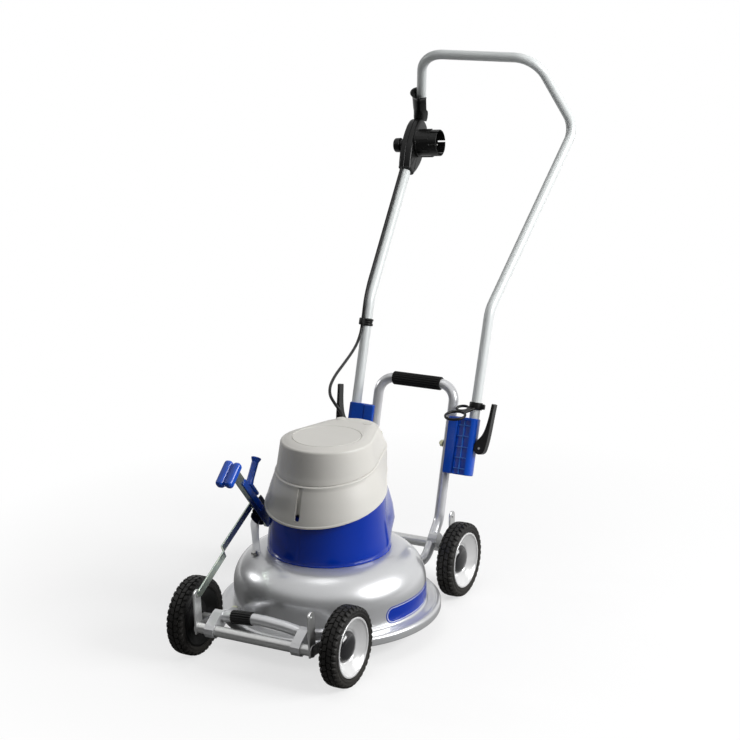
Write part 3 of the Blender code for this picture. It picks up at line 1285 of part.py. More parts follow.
def make_quadrant(assembly, plane_x):
    """Make the notched quadrant that the lever latches on and the bracket that carries it."""
    outline = []
    rest = math.atan2(LEVER_WAY.z, LEVER_WAY.y)
    last = NOTCH_COUNT + 1
    for step in range(-last, last + 1):
        notched = step % 2 == 0 and abs(step) < NOTCH_COUNT
        angle = rest + step * NOTCH_STEP / 2
        reach = QUADRANT_RADIUS - (NOTCH_DEPTH if notched else 0.0)
        outline.append((LEVER_POINT.y + reach * math.cos(angle),
                        LEVER_POINT.z + reach * math.sin(angle)))
    last_angle = rest + last * NOTCH_STEP / 2
    hub_reaches = [QUADRANT_NECK] + [QUADRANT_HUB] * 5
    turn_left = math.tau - last * NOTCH_STEP
    for index, reach in enumerate(hub_reaches):
        angle = last_angle + turn_left * (index + 0.4) / len(hub_reaches)
        outline.append((LEVER_POINT.y + reach * math.cos(angle),
                        LEVER_POINT.z + reach * math.sin(angle)))
    half = LINK_THICKNESS / 2
    quadrant = plate("lever_quadrant", outline, plane_x - half, plane_x + half, BLACK)
    assembly.hang(quadrant)

    wall_x = plane_x + half + GAP
    front_y, back_y = BRACKET_FOOT_Y - BRACKET_FOOT[1] / 2, BRACKET_FOOT_Y + BRACKET_FOOT[1] / 2
    low = [(y, deck_height(math.hypot(wall_x + BRACKET_WALL, y)) + 2 * GAP) for y in (front_y, back_y)]
    side = plate("lever_bracket", low + [
        (back_y - 0.004, 0.190), (-0.062, 0.216), (-0.076, 0.240), (-0.092, 0.232), (-0.100, 0.212),
        (front_y + 0.004, 0.190),
    ], wall_x, wall_x + BRACKET_WALL, GREY)
    foot_x = wall_x + BRACKET_FOOT[0] / 2 + GAP
    radius = math.hypot(foot_x, BRACKET_FOOT_Y)
    run = 0.001
    fall = (deck_height(radius - run) - deck_height(radius + run)) / (2 * run)
    rise = Vector((foot_x / radius * fall, BRACKET_FOOT_Y / radius * fall, 1)).normalized()
    back = rise.cross(Vector((1, 0, 0))).normalized()
    middle = Vector((foot_x, BRACKET_FOOT_Y, deck_height(radius))) + rise * (GAP + BRACKET_FOOT[2] / 2)
    foot = block("foot", BRACKET_FOOT, frame_of(middle, back.cross(rise), back, rise))
    join(side, foot)
    assembly.hang(side)


def main():
    """Build the whole mower."""
    clear_scene()
    assembly = Assembly()
    handle = handle_path()
    assembly.pivot("handle_fold_axis", (0, PIVOT_Y, PIVOT_Z))
    assembly.hang(make_deck())
    make_covers(assembly)
    make_motor(assembly)
    frame, loop_line = make_chassis_tubes(assembly)
    make_axle(assembly, "front", FRONT_AXLE, FRONT_WHEEL_Y, drop_arm=False)
    make_axle(assembly, "rear", REAR_AXLE, REAR_WHEEL_Y, drop_arm=True)
    loop_corner = (LOOP_CORNER[1], LOOP_CORNER[2])
    make_bearings(assembly, "front", FRONT_AXLE, loop_line, loop_corner)
    low_bend = Vector(FRAME_LOW_BEND)
    foot_bend = Vector((FRAME_FOOT_BEND_Y, FLANGE_TOP + TUBE_RADIUS))
    way = (low_bend - foot_bend).normalized()
    nearest = foot_bend + way * (Vector((REAR_AXLE.y, REAR_AXLE.z)) - foot_bend).dot(way)
    make_bearings(assembly, "rear", REAR_AXLE, frame, nearest)
    make_handlebar(assembly, handle)
    for side, word in ((1, "left"), (-1, "right")):
        make_clamp(assembly, side, word, frame, handle)
    make_switch_box(assembly, handle)
    make_cable(assembly, handle)
    make_cord_hook(assembly, handle)
    make_height_lever(assembly)
    assembly.centre_on_ground()


main()
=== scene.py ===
"""Dress the electric lawn mower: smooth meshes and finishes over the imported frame.

Lengths are metres.  The shapes are worked out round the motor shaft, with X across the mower, -Y to
its front and +Z up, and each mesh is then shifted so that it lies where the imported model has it.
"""

import logging
import math
from dataclasses import dataclass, field
from enum import Enum
from functools import cache
from typing import Optional, Sequence

import bmesh
import bpy
import numpy as np
from mathutils import Matrix, Vector


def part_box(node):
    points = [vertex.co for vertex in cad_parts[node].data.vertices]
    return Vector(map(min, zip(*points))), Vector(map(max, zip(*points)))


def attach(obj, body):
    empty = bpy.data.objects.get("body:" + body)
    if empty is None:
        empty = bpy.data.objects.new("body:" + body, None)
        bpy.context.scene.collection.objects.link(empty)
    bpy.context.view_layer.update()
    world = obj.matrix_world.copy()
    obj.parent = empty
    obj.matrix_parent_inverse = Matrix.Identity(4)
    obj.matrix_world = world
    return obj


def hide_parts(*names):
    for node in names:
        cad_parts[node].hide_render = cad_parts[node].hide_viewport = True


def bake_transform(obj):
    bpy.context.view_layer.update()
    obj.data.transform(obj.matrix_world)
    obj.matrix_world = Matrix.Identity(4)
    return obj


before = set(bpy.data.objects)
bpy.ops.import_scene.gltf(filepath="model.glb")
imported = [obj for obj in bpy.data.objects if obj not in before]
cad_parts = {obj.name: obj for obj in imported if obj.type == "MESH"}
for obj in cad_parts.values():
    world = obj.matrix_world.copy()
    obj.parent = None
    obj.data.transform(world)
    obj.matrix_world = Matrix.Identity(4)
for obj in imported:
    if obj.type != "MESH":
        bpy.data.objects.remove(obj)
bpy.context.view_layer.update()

Array = np.ndarray
Pair = tuple[float, float]
Point = tuple[float, float, float]
Points = Sequence[Sequence[float]]
Thing = bpy.types.Object
Tree = bpy.types.NodeTree
Socket = bpy.types.NodeSocket
LOG = logging.getLogger("mower")
TAU = math.tau

# Sizes that several sub-assemblies share
GAP = 0.0003
TUBE_RADIUS = 0.011
WHEEL_RADIUS = 0.08
WHEEL_OUTER_X = 0.1902
TYRE_WIDTH = 0.037
WHEEL_X = WHEEL_OUTER_X - TYRE_WIDTH / 2
FLANGE_TOP = 0.058
DECK_WALL_RADIUS = 0.1985
FRAME_X = 0.092
HANDLE_X = 0.1445
PIVOT = np.array([0.0, 0.37355575, 0.2945])
LEAN = np.array([0.0, 0.29122898, 0.95665336])
ACROSS = np.array([1.0, 0.0, 0.0])
HANDLE_LOW = (0.147, 0.4695, 0.5796)
BOX_CENTRE = (-0.1866, 0.765015, 0.870165)
BOX_LENGTH = 0.135
GLAND = (-0.045, 0.149, 0.381)
GLAND_LEAN = (-0.35, 0.45, 0.82)
SHIFT = np.array([0.0, sum(corner.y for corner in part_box("deck")) / 2, 0.0])


class Side(Enum):
    """The two sides of the mower, as the operator sees them."""

    LEFT = 1
    RIGHT = -1

    @property
    def word(self) -> str:
        """Return the word that node names use for this side."""
        return self.name.lower()


def unit(way: Array) -> Array:
    """Return v / |v| for one direction or for rows of them."""
    return way / np.linalg.norm(way, axis=-1, keepdims=True)


def axes(z_way: Sequence[float], x_hint: Sequence[float] = (1, 0, 0)) -> Array:
    """Return the 3 x 3 matrix whose rows are x, y, z of a frame along z_way.

    z = v / |v|, x = h - (h . z) z made unit, y = z cross x.
    """
    z = unit(np.asarray(z_way, float))
    hint = np.asarray(x_hint, float)
    x = unit(hint - hint.dot(z) * z)
    return np.array([x, np.cross(z, x), z])


def outward(sign: float) -> Array:
    """Return the frame whose z axis points along X with this sign, with x up."""
    return axes((sign, 0, 0), (0, 0, 1))


def placed(points: Array, turn: Array, origin: Sequence[float]) -> Array:
    """Return origin + p . turn for every point p given in a frame's own axes."""
    return np.asarray(points, float) @ turn + np.asarray(origin, float)


def rounded_path(corners: Points, radii: Sequence[float], step: float = 0.07) -> Array:
    """Round each inner corner of a path with an arc.

    With unit ways a (into the corner) and b (out of it), the bend is w = angle(a, b), the arc starts
    r tan(w / 2) before the corner, and its centre is r / cos(w / 2) along (b - a) from the corner.
    """
    points = [np.asarray(corner, float) for corner in corners]
    parts = [points[:1]]
    for before, corner, after, radius in zip(points, points[1:], points[2:], radii):
        into, out = unit(corner - before), unit(after - corner)
        bend = math.acos(float(np.clip(into.dot(out), -1, 1)))
        centre = corner + unit(out - into) * radius / math.cos(bend / 2)
        start = corner - into * radius * math.tan(bend / 2) - centre
        end = corner + out * radius * math.tan(bend / 2) - centre
        share = np.linspace(0, 1, max(3, math.ceil(bend / step) + 1))[:, None]
        parts.append(centre + (np.sin((1 - share) * bend) * start + np.sin(share * bend) * end) / math.sin(bend))
    parts.append(points[-1:])
    return np.vstack(parts)


def mirrored(half: Array) -> Array:
    """Return a path followed by its mirror across x = 0."""
    return np.vstack([half, (half * [-1, 1, 1])[::-1]])


def distances(path: Array) -> Array:
    """Return the distance along a path at each of its points."""
    return np.concatenate([[0.0], np.cumsum(np.linalg.norm(np.diff(path, axis=0), axis=1))])


def at(path: Array, along: Array) -> Array:
    """Return the points of a path at some distances along it."""
    run = distances(path)
    return np.stack([np.interp(along, run, path[:, k]) for k in range(3)], axis=-1)


def stretch(path: Array, start: float, end: float, spacing: float = 0.004) -> Array:
    """Return evenly spaced points of the path between two distances."""
    return at(path, np.linspace(start, end, max(2, round((end - start) / spacing) + 1)))


def nearest(path: Array, place: Sequence[float]) -> float:
    """Return the distance along a path of its point nearest to a place."""
    fine = np.linspace(0, distances(path)[-1], 4000)
    return float(fine[np.argmin(np.linalg.norm(at(path, fine) - np.asarray(place), axis=1))])


def curve_through(points: Points, per_span: int = 8, closed: bool = False) -> Array:
    """Return a Catmull-Rom curve through points.

    Between b and c, with neighbours a and d: p(t) = (2b + (c - a) t + (2a - 5b + 4c - d) t^2
    + (3b - 3c + d - a) t^3) / 2.
    """
    p = np.asarray(points, float)
    if closed:
        p = np.vstack([p[-1:], p, p[:2]])
    else:
        p = np.vstack([2 * p[0] - p[1], p, 2 * p[-1] - p[-2]])
    a, b, c, d = (p[k:len(p) - 3 + k, None, :] for k in range(4))
    t = (np.arange(per_span) / per_span)[None, :, None]
    curve = 0.5 * (2 * b + (c - a) * t + (2 * a - 5 * b + 4 * c - d) * t ** 2 + (3 * b - 3 * c + d - a) * t ** 3)
    curve = curve.reshape(-1, p.shape[1])
    return curve if closed else np.vstack([curve, p[-2:-1]])


def ways_along(path: Array) -> Array:
    """Return the unit tangent at each point of a path from its neighbours."""
    return unit(np.gradient(path, axis=0))


def polar(radius: object, angle: Array) -> Array:
    """Return r (cos a, sin a) for each angle."""
    return np.stack([radius * np.cos(angle), radius * np.sin(angle)], axis=-1)


def spun(radius: object, angle: Array, height: object) -> Array:
    """Return (r cos a, r sin a, z) for radii, angles and heights that are spread over one another."""
    return np.stack(np.broadcast_arrays(radius * np.cos(angle), radius * np.sin(angle), height), axis=-1)


def raised(rings: Sequence[tuple[Array, float]]) -> Array:
    """Return a grid of flat outlines, each at its own height."""
    return np.stack([np.column_stack([ring, np.full(len(ring), z)]) for ring, z in rings])


def circle(radius: float, count: int) -> Array:
    """Return r (cos a, sin a) for even steps of a."""
    return polar(radius, np.arange(count) * TAU / count)


def ribbed_circle(radius: float, ribs: int, depth: float, per_rib: int = 8) -> Array:
    """Return a circle with rounded ribs: r(a) = R - d (1 - |cos(n a / 2)|^0.6)."""
    a = np.arange(ribs * per_rib) * TAU / (ribs * per_rib)
    return polar(radius - depth * (1 - np.abs(np.cos(ribs * a / 2)) ** 0.6), a)


def drawn_in(path: Array, section: Array, over: float) -> Array:
    """Return the section at each point of a path, scaled by 1 - 0.1 (1 - d / over)^2 near both ends."""
    run = distances(path)
    scale = 1 - 0.1 * (1 - np.clip(np.minimum(run, run[-1] - run) / over, 0, 1)) ** 2
    return section[None] * scale[:, None, None]


def swept(path: Array, section: Array, hint: Sequence[float]) -> Array:
    """Carry a section along a path.

    With tangent t, n = h - (h . t) t made unit and b = t cross n, a section point (u, v) goes to
    p + u n + v b.  The section is one outline or one for each point of the path.
    """
    tangent = ways_along(path)
    h = np.asarray(hint, float)
    n = unit(h - (tangent @ h)[:, None] * tangent)
    b = np.cross(tangent, n)
    shape = np.broadcast_to(section, (len(path),) + section.shape[-2:])
    return path[:, None, :] + shape[..., :1] * n[:, None, :] + shape[..., 1:] * b[:, None, :]


def eased(profile: Points, radius: float = 0.0012, steps: int = 3) -> Array:
    """Round each corner of a profile that is sharper than ten degrees.

    Corner c is replaced by the curve (1 - t)^2 p + 2 t (1 - t) c + t^2 q between points p and q at
    the radius from it, or nearer where the neighbouring edge is short.
    """
    p = np.asarray(profile, float)
    before, after = np.diff(p, axis=0)[:-1], np.diff(p, axis=0)[1:]
    la, lb = np.linalg.norm(before, axis=1), np.linalg.norm(after, axis=1)
    reach = np.minimum(radius, 0.45 * np.minimum(la, lb))
    sharp = np.einsum("ij,ij->i", before, after) < math.cos(math.radians(10)) * la * lb
    rows = [p[:1]]
    t = np.linspace(0, 1, steps + 1)[:, None]
    for corner, a, b, r, bent in zip(p[1:-1], before / la[:, None], after / lb[:, None], reach, sharp):
        rows.append((1 - t) ** 2 * (corner - a * r) + 2 * t * (1 - t) * corner + t ** 2 * (corner + b * r)
                    if bent else corner[None])
    rows.append(p[-1:])
    return np.vstack(rows)


def inset(outline: Array, amount: float) -> Array:
    """Move each corner of a counter-clockwise outline inwards along the mean of its two normals."""
    edge = np.roll(outline, -1, 0) - outline
    normal = unit(np.stack([-edge[:, 1], edge[:, 0]], axis=-1))
    mean = unit(normal + np.roll(normal, 1, 0))
    grow = np.maximum(np.einsum("ij,ij->i", mean, normal), 0.5)
    return outline + mean * (amount / grow)[:, None]


def strap(points: Points, half_width: float, steps: int = 12) -> Array:
    """Return the counter-clockwise outline of a bent strap with round ends.

    Each side follows the centre line at the half width, mitred at bends, and each end is the half
    circle c + w (cos a, sin a).
    """
    p = np.asarray(points, float)
    way = unit(np.diff(p, axis=0))
    side = np.stack([-way[:, 1], way[:, 0]], axis=-1)
    middle = unit(side[:-1] + side[1:]) if len(p) > 2 else np.zeros((0, 2))
    reach = half_width / np.einsum("ij,ij->i", middle, side[1:]) if len(p) > 2 else np.zeros(0)
    a0 = math.atan2(way[0, 1], way[0, 0]) + math.pi / 2 + np.linspace(0, math.pi, steps)
    a1 = math.atan2(way[-1, 1], way[-1, 0]) - math.pi / 2 + np.linspace(0, math.pi, steps)
    out = middle * reach[:, None]
    start, end = p[0] + polar(half_width, a0), p[-1] + polar(half_width, a1)
    return np.vstack([start, p[1:-1] - out, end, (p[1:-1] + out)[::-1]])


def rod(radius: float, low: float, high: float, ease: float = 0) -> Array:
    """Return the (r, z) profile of a plain rod between two heights, with its rims eased if asked."""
    profile = np.array([(0, low), (radius, low), (radius, high), (0, high)])
    return eased(profile, ease) if ease else profile


def strip_section(half: Array, thick: float) -> Array:
    """Return the section of a flat strip, with eased edges, for each half width along it."""
    t, e = thick / 2, 0.0004
    corners = [(-t, 1, -e), (-t + e, 1, 0), (t - e, 1, 0), (t, 1, -e),
               (t, -1, e), (t - e, -1, 0), (-t + e, -1, 0), (-t, -1, e)]
    return np.stack([np.stack([np.full(len(half), u), half * s + off], axis=-1) for u, s, off in corners], axis=1)


def linked(name: str, data: bpy.types.ID) -> Thing:
    """Make an object of some data and link it to the scene."""
    thing = bpy.data.objects.new(name, data)
    bpy.context.scene.collection.objects.link(thing)
    return thing


class Mesher:
    """Gathers surfaces that are worked out as arrays and makes them one mesh."""

    def __init__(self) -> None:
        """Start with no surface."""
        self.points: list[Array] = []
        self.faces: list[list[int]] = []
        self.slots: list[int] = []
        self.charts: list[Array] = []
        self.count = 0

    def grid(self, points: Array, close_u: bool = False, close_v: bool = False, caps: bool = False,
             slot: int = 0, chart: Optional[Array] = None) -> "Mesher":
        """Add the quads of a grid.

        Quad (i, j) joins points i m + j, i m + j + 1, (i + 1) m + j + 1 and (i + 1) m + j, with the
        indices taken round where a direction closes.

        Args:
            points: the grid, n x m x 3.
            close_u: join the last row to the first.
            close_v: join the last column to the first.
            caps: close the first and the last row with a flat face.
            slot: the material slot of these faces.
            chart: flat coordinates, n x m x 2, kept for the piece's UV map.

        Returns:
            This mesher, so that calls can follow each other.
        """
        n, m = points.shape[:2]
        i = np.arange(n if close_u else n - 1)[:, None]
        j = np.arange(m if close_v else m - 1)[None, :]
        corners = (i * m + j, i * m + (j + 1) % m, ((i + 1) % n) * m + (j + 1) % m, ((i + 1) % n) * m + j)
        quads = np.stack(np.broadcast_arrays(*corners), axis=-1).reshape(-1, 4) + self.count
        self.faces += quads.tolist()
        if caps:
            self.faces.append(list(range(self.count, self.count + m)))
            self.faces.append(list(range(self.count + (n - 1) * m, self.count + n * m)))
        self.slots += [slot] * (len(self.faces) - len(self.slots))
        self.points.append(points.reshape(-1, 3))
        self.charts.append(np.zeros((n * m, 2)) if chart is None else chart.reshape(-1, 2))
        self.count += n * m
        return self

    def slab(self, outline: Array, low: float, high: float, turn: Array, origin: Sequence[float],
             edge: float = 0.0004) -> "Mesher":
        """Add a plate with eased edges.

        The outline stands at heights low, low + e, high - e and high, and is inset by e at the two
        outer ones.
        """
        inner = inset(outline, edge)
        rings = [(inner, low), (outline, low + edge), (outline, high - edge), (inner, high)]
        return self.grid(placed(raised(rings), turn, origin), close_v=True, caps=True)

    def block(self, size: Sequence[float], radius: float, turn: Array, origin: Sequence[float],
              steps: int = 3) -> "Mesher":
        """Add a box with round edges.

        A point c on the cube goes to k + r (c - k) / |c - k|, where k is c held inside the box that
        is smaller by r on each side.
        """
        half = np.asarray(size, float) / 2
        core = half - radius
        lines = [np.concatenate([-h + radius * np.linspace(0, 1, steps + 1), h - radius * np.linspace(1, 0, steps + 1)])
                 for h in half]
        for axis in range(3):
            u, v = (axis + 1) % 3, (axis + 2) % 3
            for sign in (-1.0, 1.0):
                face = np.zeros((len(lines[u]), len(lines[v]), 3))
                face[..., u] = lines[u][:, None]
                face[..., v] = lines[v][None, :]
                face[..., axis] = sign * half[axis]
                inner = np.clip(face, -core, core)
                self.grid(placed(inner + radius * unit(face - inner), turn, origin))
        return self

    def lathe(self, profile: Points, segments: int, turn: Array = np.eye(3),
              origin: Sequence[float] = (0, 0, 0), slot: int = 0, ring: bool = False) -> "Mesher":
        """Spin an (r, z) profile, closed on itself where ring is true: p(a, k) = (r_k cos a, r_k sin a, z_k)."""
        rz = np.asarray(profile, float)
        a = (np.arange(segments) * TAU / segments)[:, None]
        return self.grid(placed(spun(rz[:, 0], a, rz[:, 1]), turn, origin), close_u=True, close_v=ring, slot=slot)

    def tube(self, path: Array, section: Array, hint: Sequence[float]) -> "Mesher":
        """Add a section carried along a path, with flat ends."""
        return self.grid(swept(path, section, hint), close_v=True, caps=True)

    def piece(self, name: str, *finishes: "Finish", sharp: float = 32.0) -> Thing:
        """Make the object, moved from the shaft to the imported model's place.

        Args:
            name: the piece's name.
            finishes: its finishes, in the order of the slots.
            sharp: the angle in degrees over which an edge stays sharp.

        Returns:
            The object, at the origin, with its faces pointing outwards.
        """
        points = np.vstack(self.points) + SHIFT
        mesh = bpy.data.meshes.new(name)
        mesh.from_pydata(points.tolist(), [], self.faces)
        mesh.polygons.foreach_set("material_index", self.slots)
        chart = np.vstack(self.charts)
        if chart.any():
            corner = np.empty(len(mesh.loops), np.int32)
            mesh.loops.foreach_get("vertex_index", corner)
            mesh.uv_layers.new(name="flat").data.foreach_set("uv", chart[corner].ravel())
        work = bmesh.new()
        work.from_mesh(mesh)
        bmesh.ops.remove_doubles(work, verts=work.verts, dist=2e-6)
        bmesh.ops.recalc_face_normals(work, faces=work.faces)
        work.to_mesh(mesh)
        work.free()
        mesh.shade_smooth()
        mesh.set_sharp_from_angle(angle=math.radians(sharp))
        for finish in finishes:
            mesh.materials.append(finish.material())
        return linked(name, mesh)

    def fitted(self, name: str, finish: "Finish", body: str, *nodes: str, sharp: float = 32.0) -> None:
        """Make the object in one finish, let it ride on a body and stand for CAD nodes."""
        fit(self.piece(name, finish, sharp=sharp), body, *nodes)


def carved(thing: Thing, *tools: Thing) -> Thing:
    """Cut tools out of a piece with exact Booleans and remove the tools."""
    for tool in tools:
        step = thing.modifiers.new(tool.name, "BOOLEAN")
        step.operation, step.object, step.solver = "DIFFERENCE", tool, "EXACT"
    bpy.context.view_layer.update()
    result = bpy.data.meshes.new_from_object(thing.evaluated_get(bpy.context.evaluated_depsgraph_get()))
    thing.modifiers.clear()
    thing.data = result
    thing.data.set_sharp_from_angle(angle=math.radians(32))
    for tool in tools:
        bpy.data.objects.remove(tool, do_unlink=True)
    return thing


def hexagon(across: float) -> Array:
    """Return the six corners of a nut that measures the given width across its flats."""
    return polar(across / math.sqrt(3), (np.arange(6) + 0.5) * TAU / 6)


class Nodes:
    """Short ways to add and join the nodes of one tree."""

    def __init__(self, tree: Tree) -> None:
        """Keep the tree."""
        self.tree = tree

    def give(self, socket: Socket, value: object) -> None:
        """Link another socket to a socket, or set its value."""
        if isinstance(value, Socket):
            self.tree.links.new(value, socket)
        else:
            socket.default_value = value

    def add(self, kind: str, inputs: Optional[dict[object, object]] = None, **traits: object) -> bpy.types.Node:
        """Add a node, set its traits, and give each input its value or link."""
        made = self.tree.nodes.new(f"ShaderNode{kind}")
        for trait, value in traits.items():
            setattr(made, trait, value)
        for label, value in (inputs or {}).items():
            self.give(made.inputs[label], value)
        return made

    def math(self, what: str, a: object, b: object = 0.0) -> Socket:
        """Add a Math node on two sockets or numbers and return its output."""
        return self.add("Math", {0: a, 1: b}, operation=what).outputs[0]

    def noise(self, vector: Socket, scale: object, detail: float = 3.0, rough: float = 0.55) -> Socket:
        """Add a Noise Texture and return its value."""
        inputs = {"Vector": vector, "Scale": scale, "Detail": detail, "Roughness": rough}
        return self.add("TexNoise", inputs).outputs[0]

    def blend(self, factor: object, a: object, b: object) -> Socket:
        """Add a colour Mix node and return its result."""
        return self.add("Mix", {0: factor, 6: a, 7: b}, data_type="RGBA").outputs[2]

    def ramp(self, value: Socket, given: Pair, wanted: Pair, kind: str = "LINEAR") -> Socket:
        """Add a Map Range node from one held range to another and return its result."""
        inputs = {"Value": value, "From Min": given[0], "From Max": given[1], "To Min": wanted[0], "To Max": wanted[1]}
        return self.add("MapRange", inputs, interpolation_type=kind).outputs["Result"]


class Effects:
    """The shader node groups that the finishes share."""

    @staticmethod
    def _start(name: str, **inputs: object) -> tuple[Nodes, dict[str, Socket]]:
        """Open a node group with a Vector input and further ones."""
        tree = bpy.data.node_groups.new(name, "ShaderNodeTree")
        tree.interface.new_socket(name="Vector", in_out="INPUT", socket_type="NodeSocketVector")
        for label, value in inputs.items():
            kind = "NodeSocketColor" if isinstance(value, tuple) else "NodeSocketFloat"
            tree.interface.new_socket(name=label, in_out="INPUT", socket_type=kind).default_value = value
        return Nodes(tree), tree.nodes.new("NodeGroupInput").outputs

    @staticmethod
    def _end(nodes: Nodes, value: Socket, kind: str = "NodeSocketFloat") -> Tree:
        """Give a node group its output and return the group."""
        nodes.tree.interface.new_socket(name="Result", in_out="OUTPUT", socket_type=kind)
        nodes.give(nodes.tree.nodes.new("NodeGroupOutput").inputs[0], value)
        return nodes.tree

    @classmethod
    @cache
    def mottle(cls) -> Tree:
        """Return the group that varies a colour: c (1 + amount (2 noise - 1)), large and small."""
        nodes, start = cls._start("mottle", Colour=(0.5, 0.5, 0.5, 1), Amount=0.1, Scale=12.0)
        large = nodes.noise(start["Vector"], start["Scale"], 2.0)
        fine = nodes.noise(start["Vector"], nodes.math("MULTIPLY", start["Scale"], 9.0), 4.0)
        both = nodes.math("ADD", nodes.math("MULTIPLY", large, 1.3), nodes.math("MULTIPLY", fine, 0.7))
        swing = nodes.math("MULTIPLY", nodes.math("SUBTRACT", both, 1.0), start["Amount"])
        inputs = {0: start["Colour"], "Scale": nodes.math("ADD", swing, 1.0)}
        return cls._end(nodes, nodes.add("VectorMath", inputs, operation="SCALE").outputs[0], "NodeSocketColor")

    @classmethod
    @cache
    def grain(cls) -> Tree:
        """Return the group of a moulded or painted grain: a height from fine noise and small pits."""
        nodes, start = cls._start("grain", Scale=900.0, Pits=0.4)
        fine = nodes.noise(start["Vector"], start["Scale"], 2.0, 0.6)
        cells = nodes.add("TexVoronoi", {"Vector": start["Vector"], "Scale": start["Scale"]})
        pits = nodes.math("MULTIPLY", cells.outputs["Distance"], start["Pits"])
        return cls._end(nodes, nodes.math("ADD", fine, pits))

    @classmethod
    @cache
    def flakes(cls) -> Tree:
        """Return the group of metal flakes or zinc spangle: cells that each lighten or darken a colour."""
        nodes, start = cls._start(
            "flakes", Colour=(0.5, 0.5, 0.5, 1), Tint=(0.5, 0.6, 0.5, 1), Amount=0.2, Scale=1500.0)
        cells = nodes.add("TexVoronoi", {"Vector": start["Vector"], "Scale": start["Scale"]})
        parted = nodes.add("SeparateColor", {0: cells.outputs["Color"]})
        part = nodes.math("MULTIPLY", parted.outputs[0], start["Amount"])
        return cls._end(nodes, nodes.blend(part, start["Colour"], start["Tint"]), "NodeSocketColor")

    @classmethod
    @cache
    def scuffs(cls) -> Tree:
        """Return the group of handling marks: a mask of thin drawn-out scratches and of soft smears."""
        nodes, start = cls._start("scuffs", Amount=0.1)
        total: object = 0.0
        for turn, pull in (((0.5, 0.3, 0.2), (14, 260, 14)), ((1.1, -0.6, 0.9), (220, 16, 16))):
            place = nodes.add("Mapping", {"Vector": start["Vector"], "Rotation": turn, "Scale": pull})
            over = nodes.math("SUBTRACT", nodes.noise(place.outputs[0], 6.0, 2.0), 0.66)
            total = nodes.math("ADD", total, nodes.math("MULTIPLY", nodes.math("MAXIMUM", over, 0.0), 5.0))
        smear = nodes.noise(start["Vector"], 22.0, 3.0)
        soft = nodes.math("MULTIPLY", nodes.math("SUBTRACT", smear, 0.5), 0.9)
        return cls._end(nodes, nodes.math("MULTIPLY", nodes.math("ADD", total, soft), start["Amount"]))

    @classmethod
    @cache
    def dust(cls) -> Tree:
        """Return the group of settled dust: a mask that fades out with height over the ground."""
        nodes, start = cls._start("dust", Top=0.2, Amount=0.1)
        level = nodes.add("SeparateXYZ", {0: start["Vector"]}).outputs[2]
        share = nodes.math("SUBTRACT", 1.0, nodes.math("DIVIDE", level, start["Top"]))
        held = nodes.math("MINIMUM", nodes.math("MAXIMUM", share, 0.0), 1.0)
        cloud = nodes.noise(start["Vector"], 60.0, 5.0, 0.65)
        return cls._end(nodes, nodes.math("MULTIPLY", nodes.math("MULTIPLY", held, cloud), start["Amount"]))


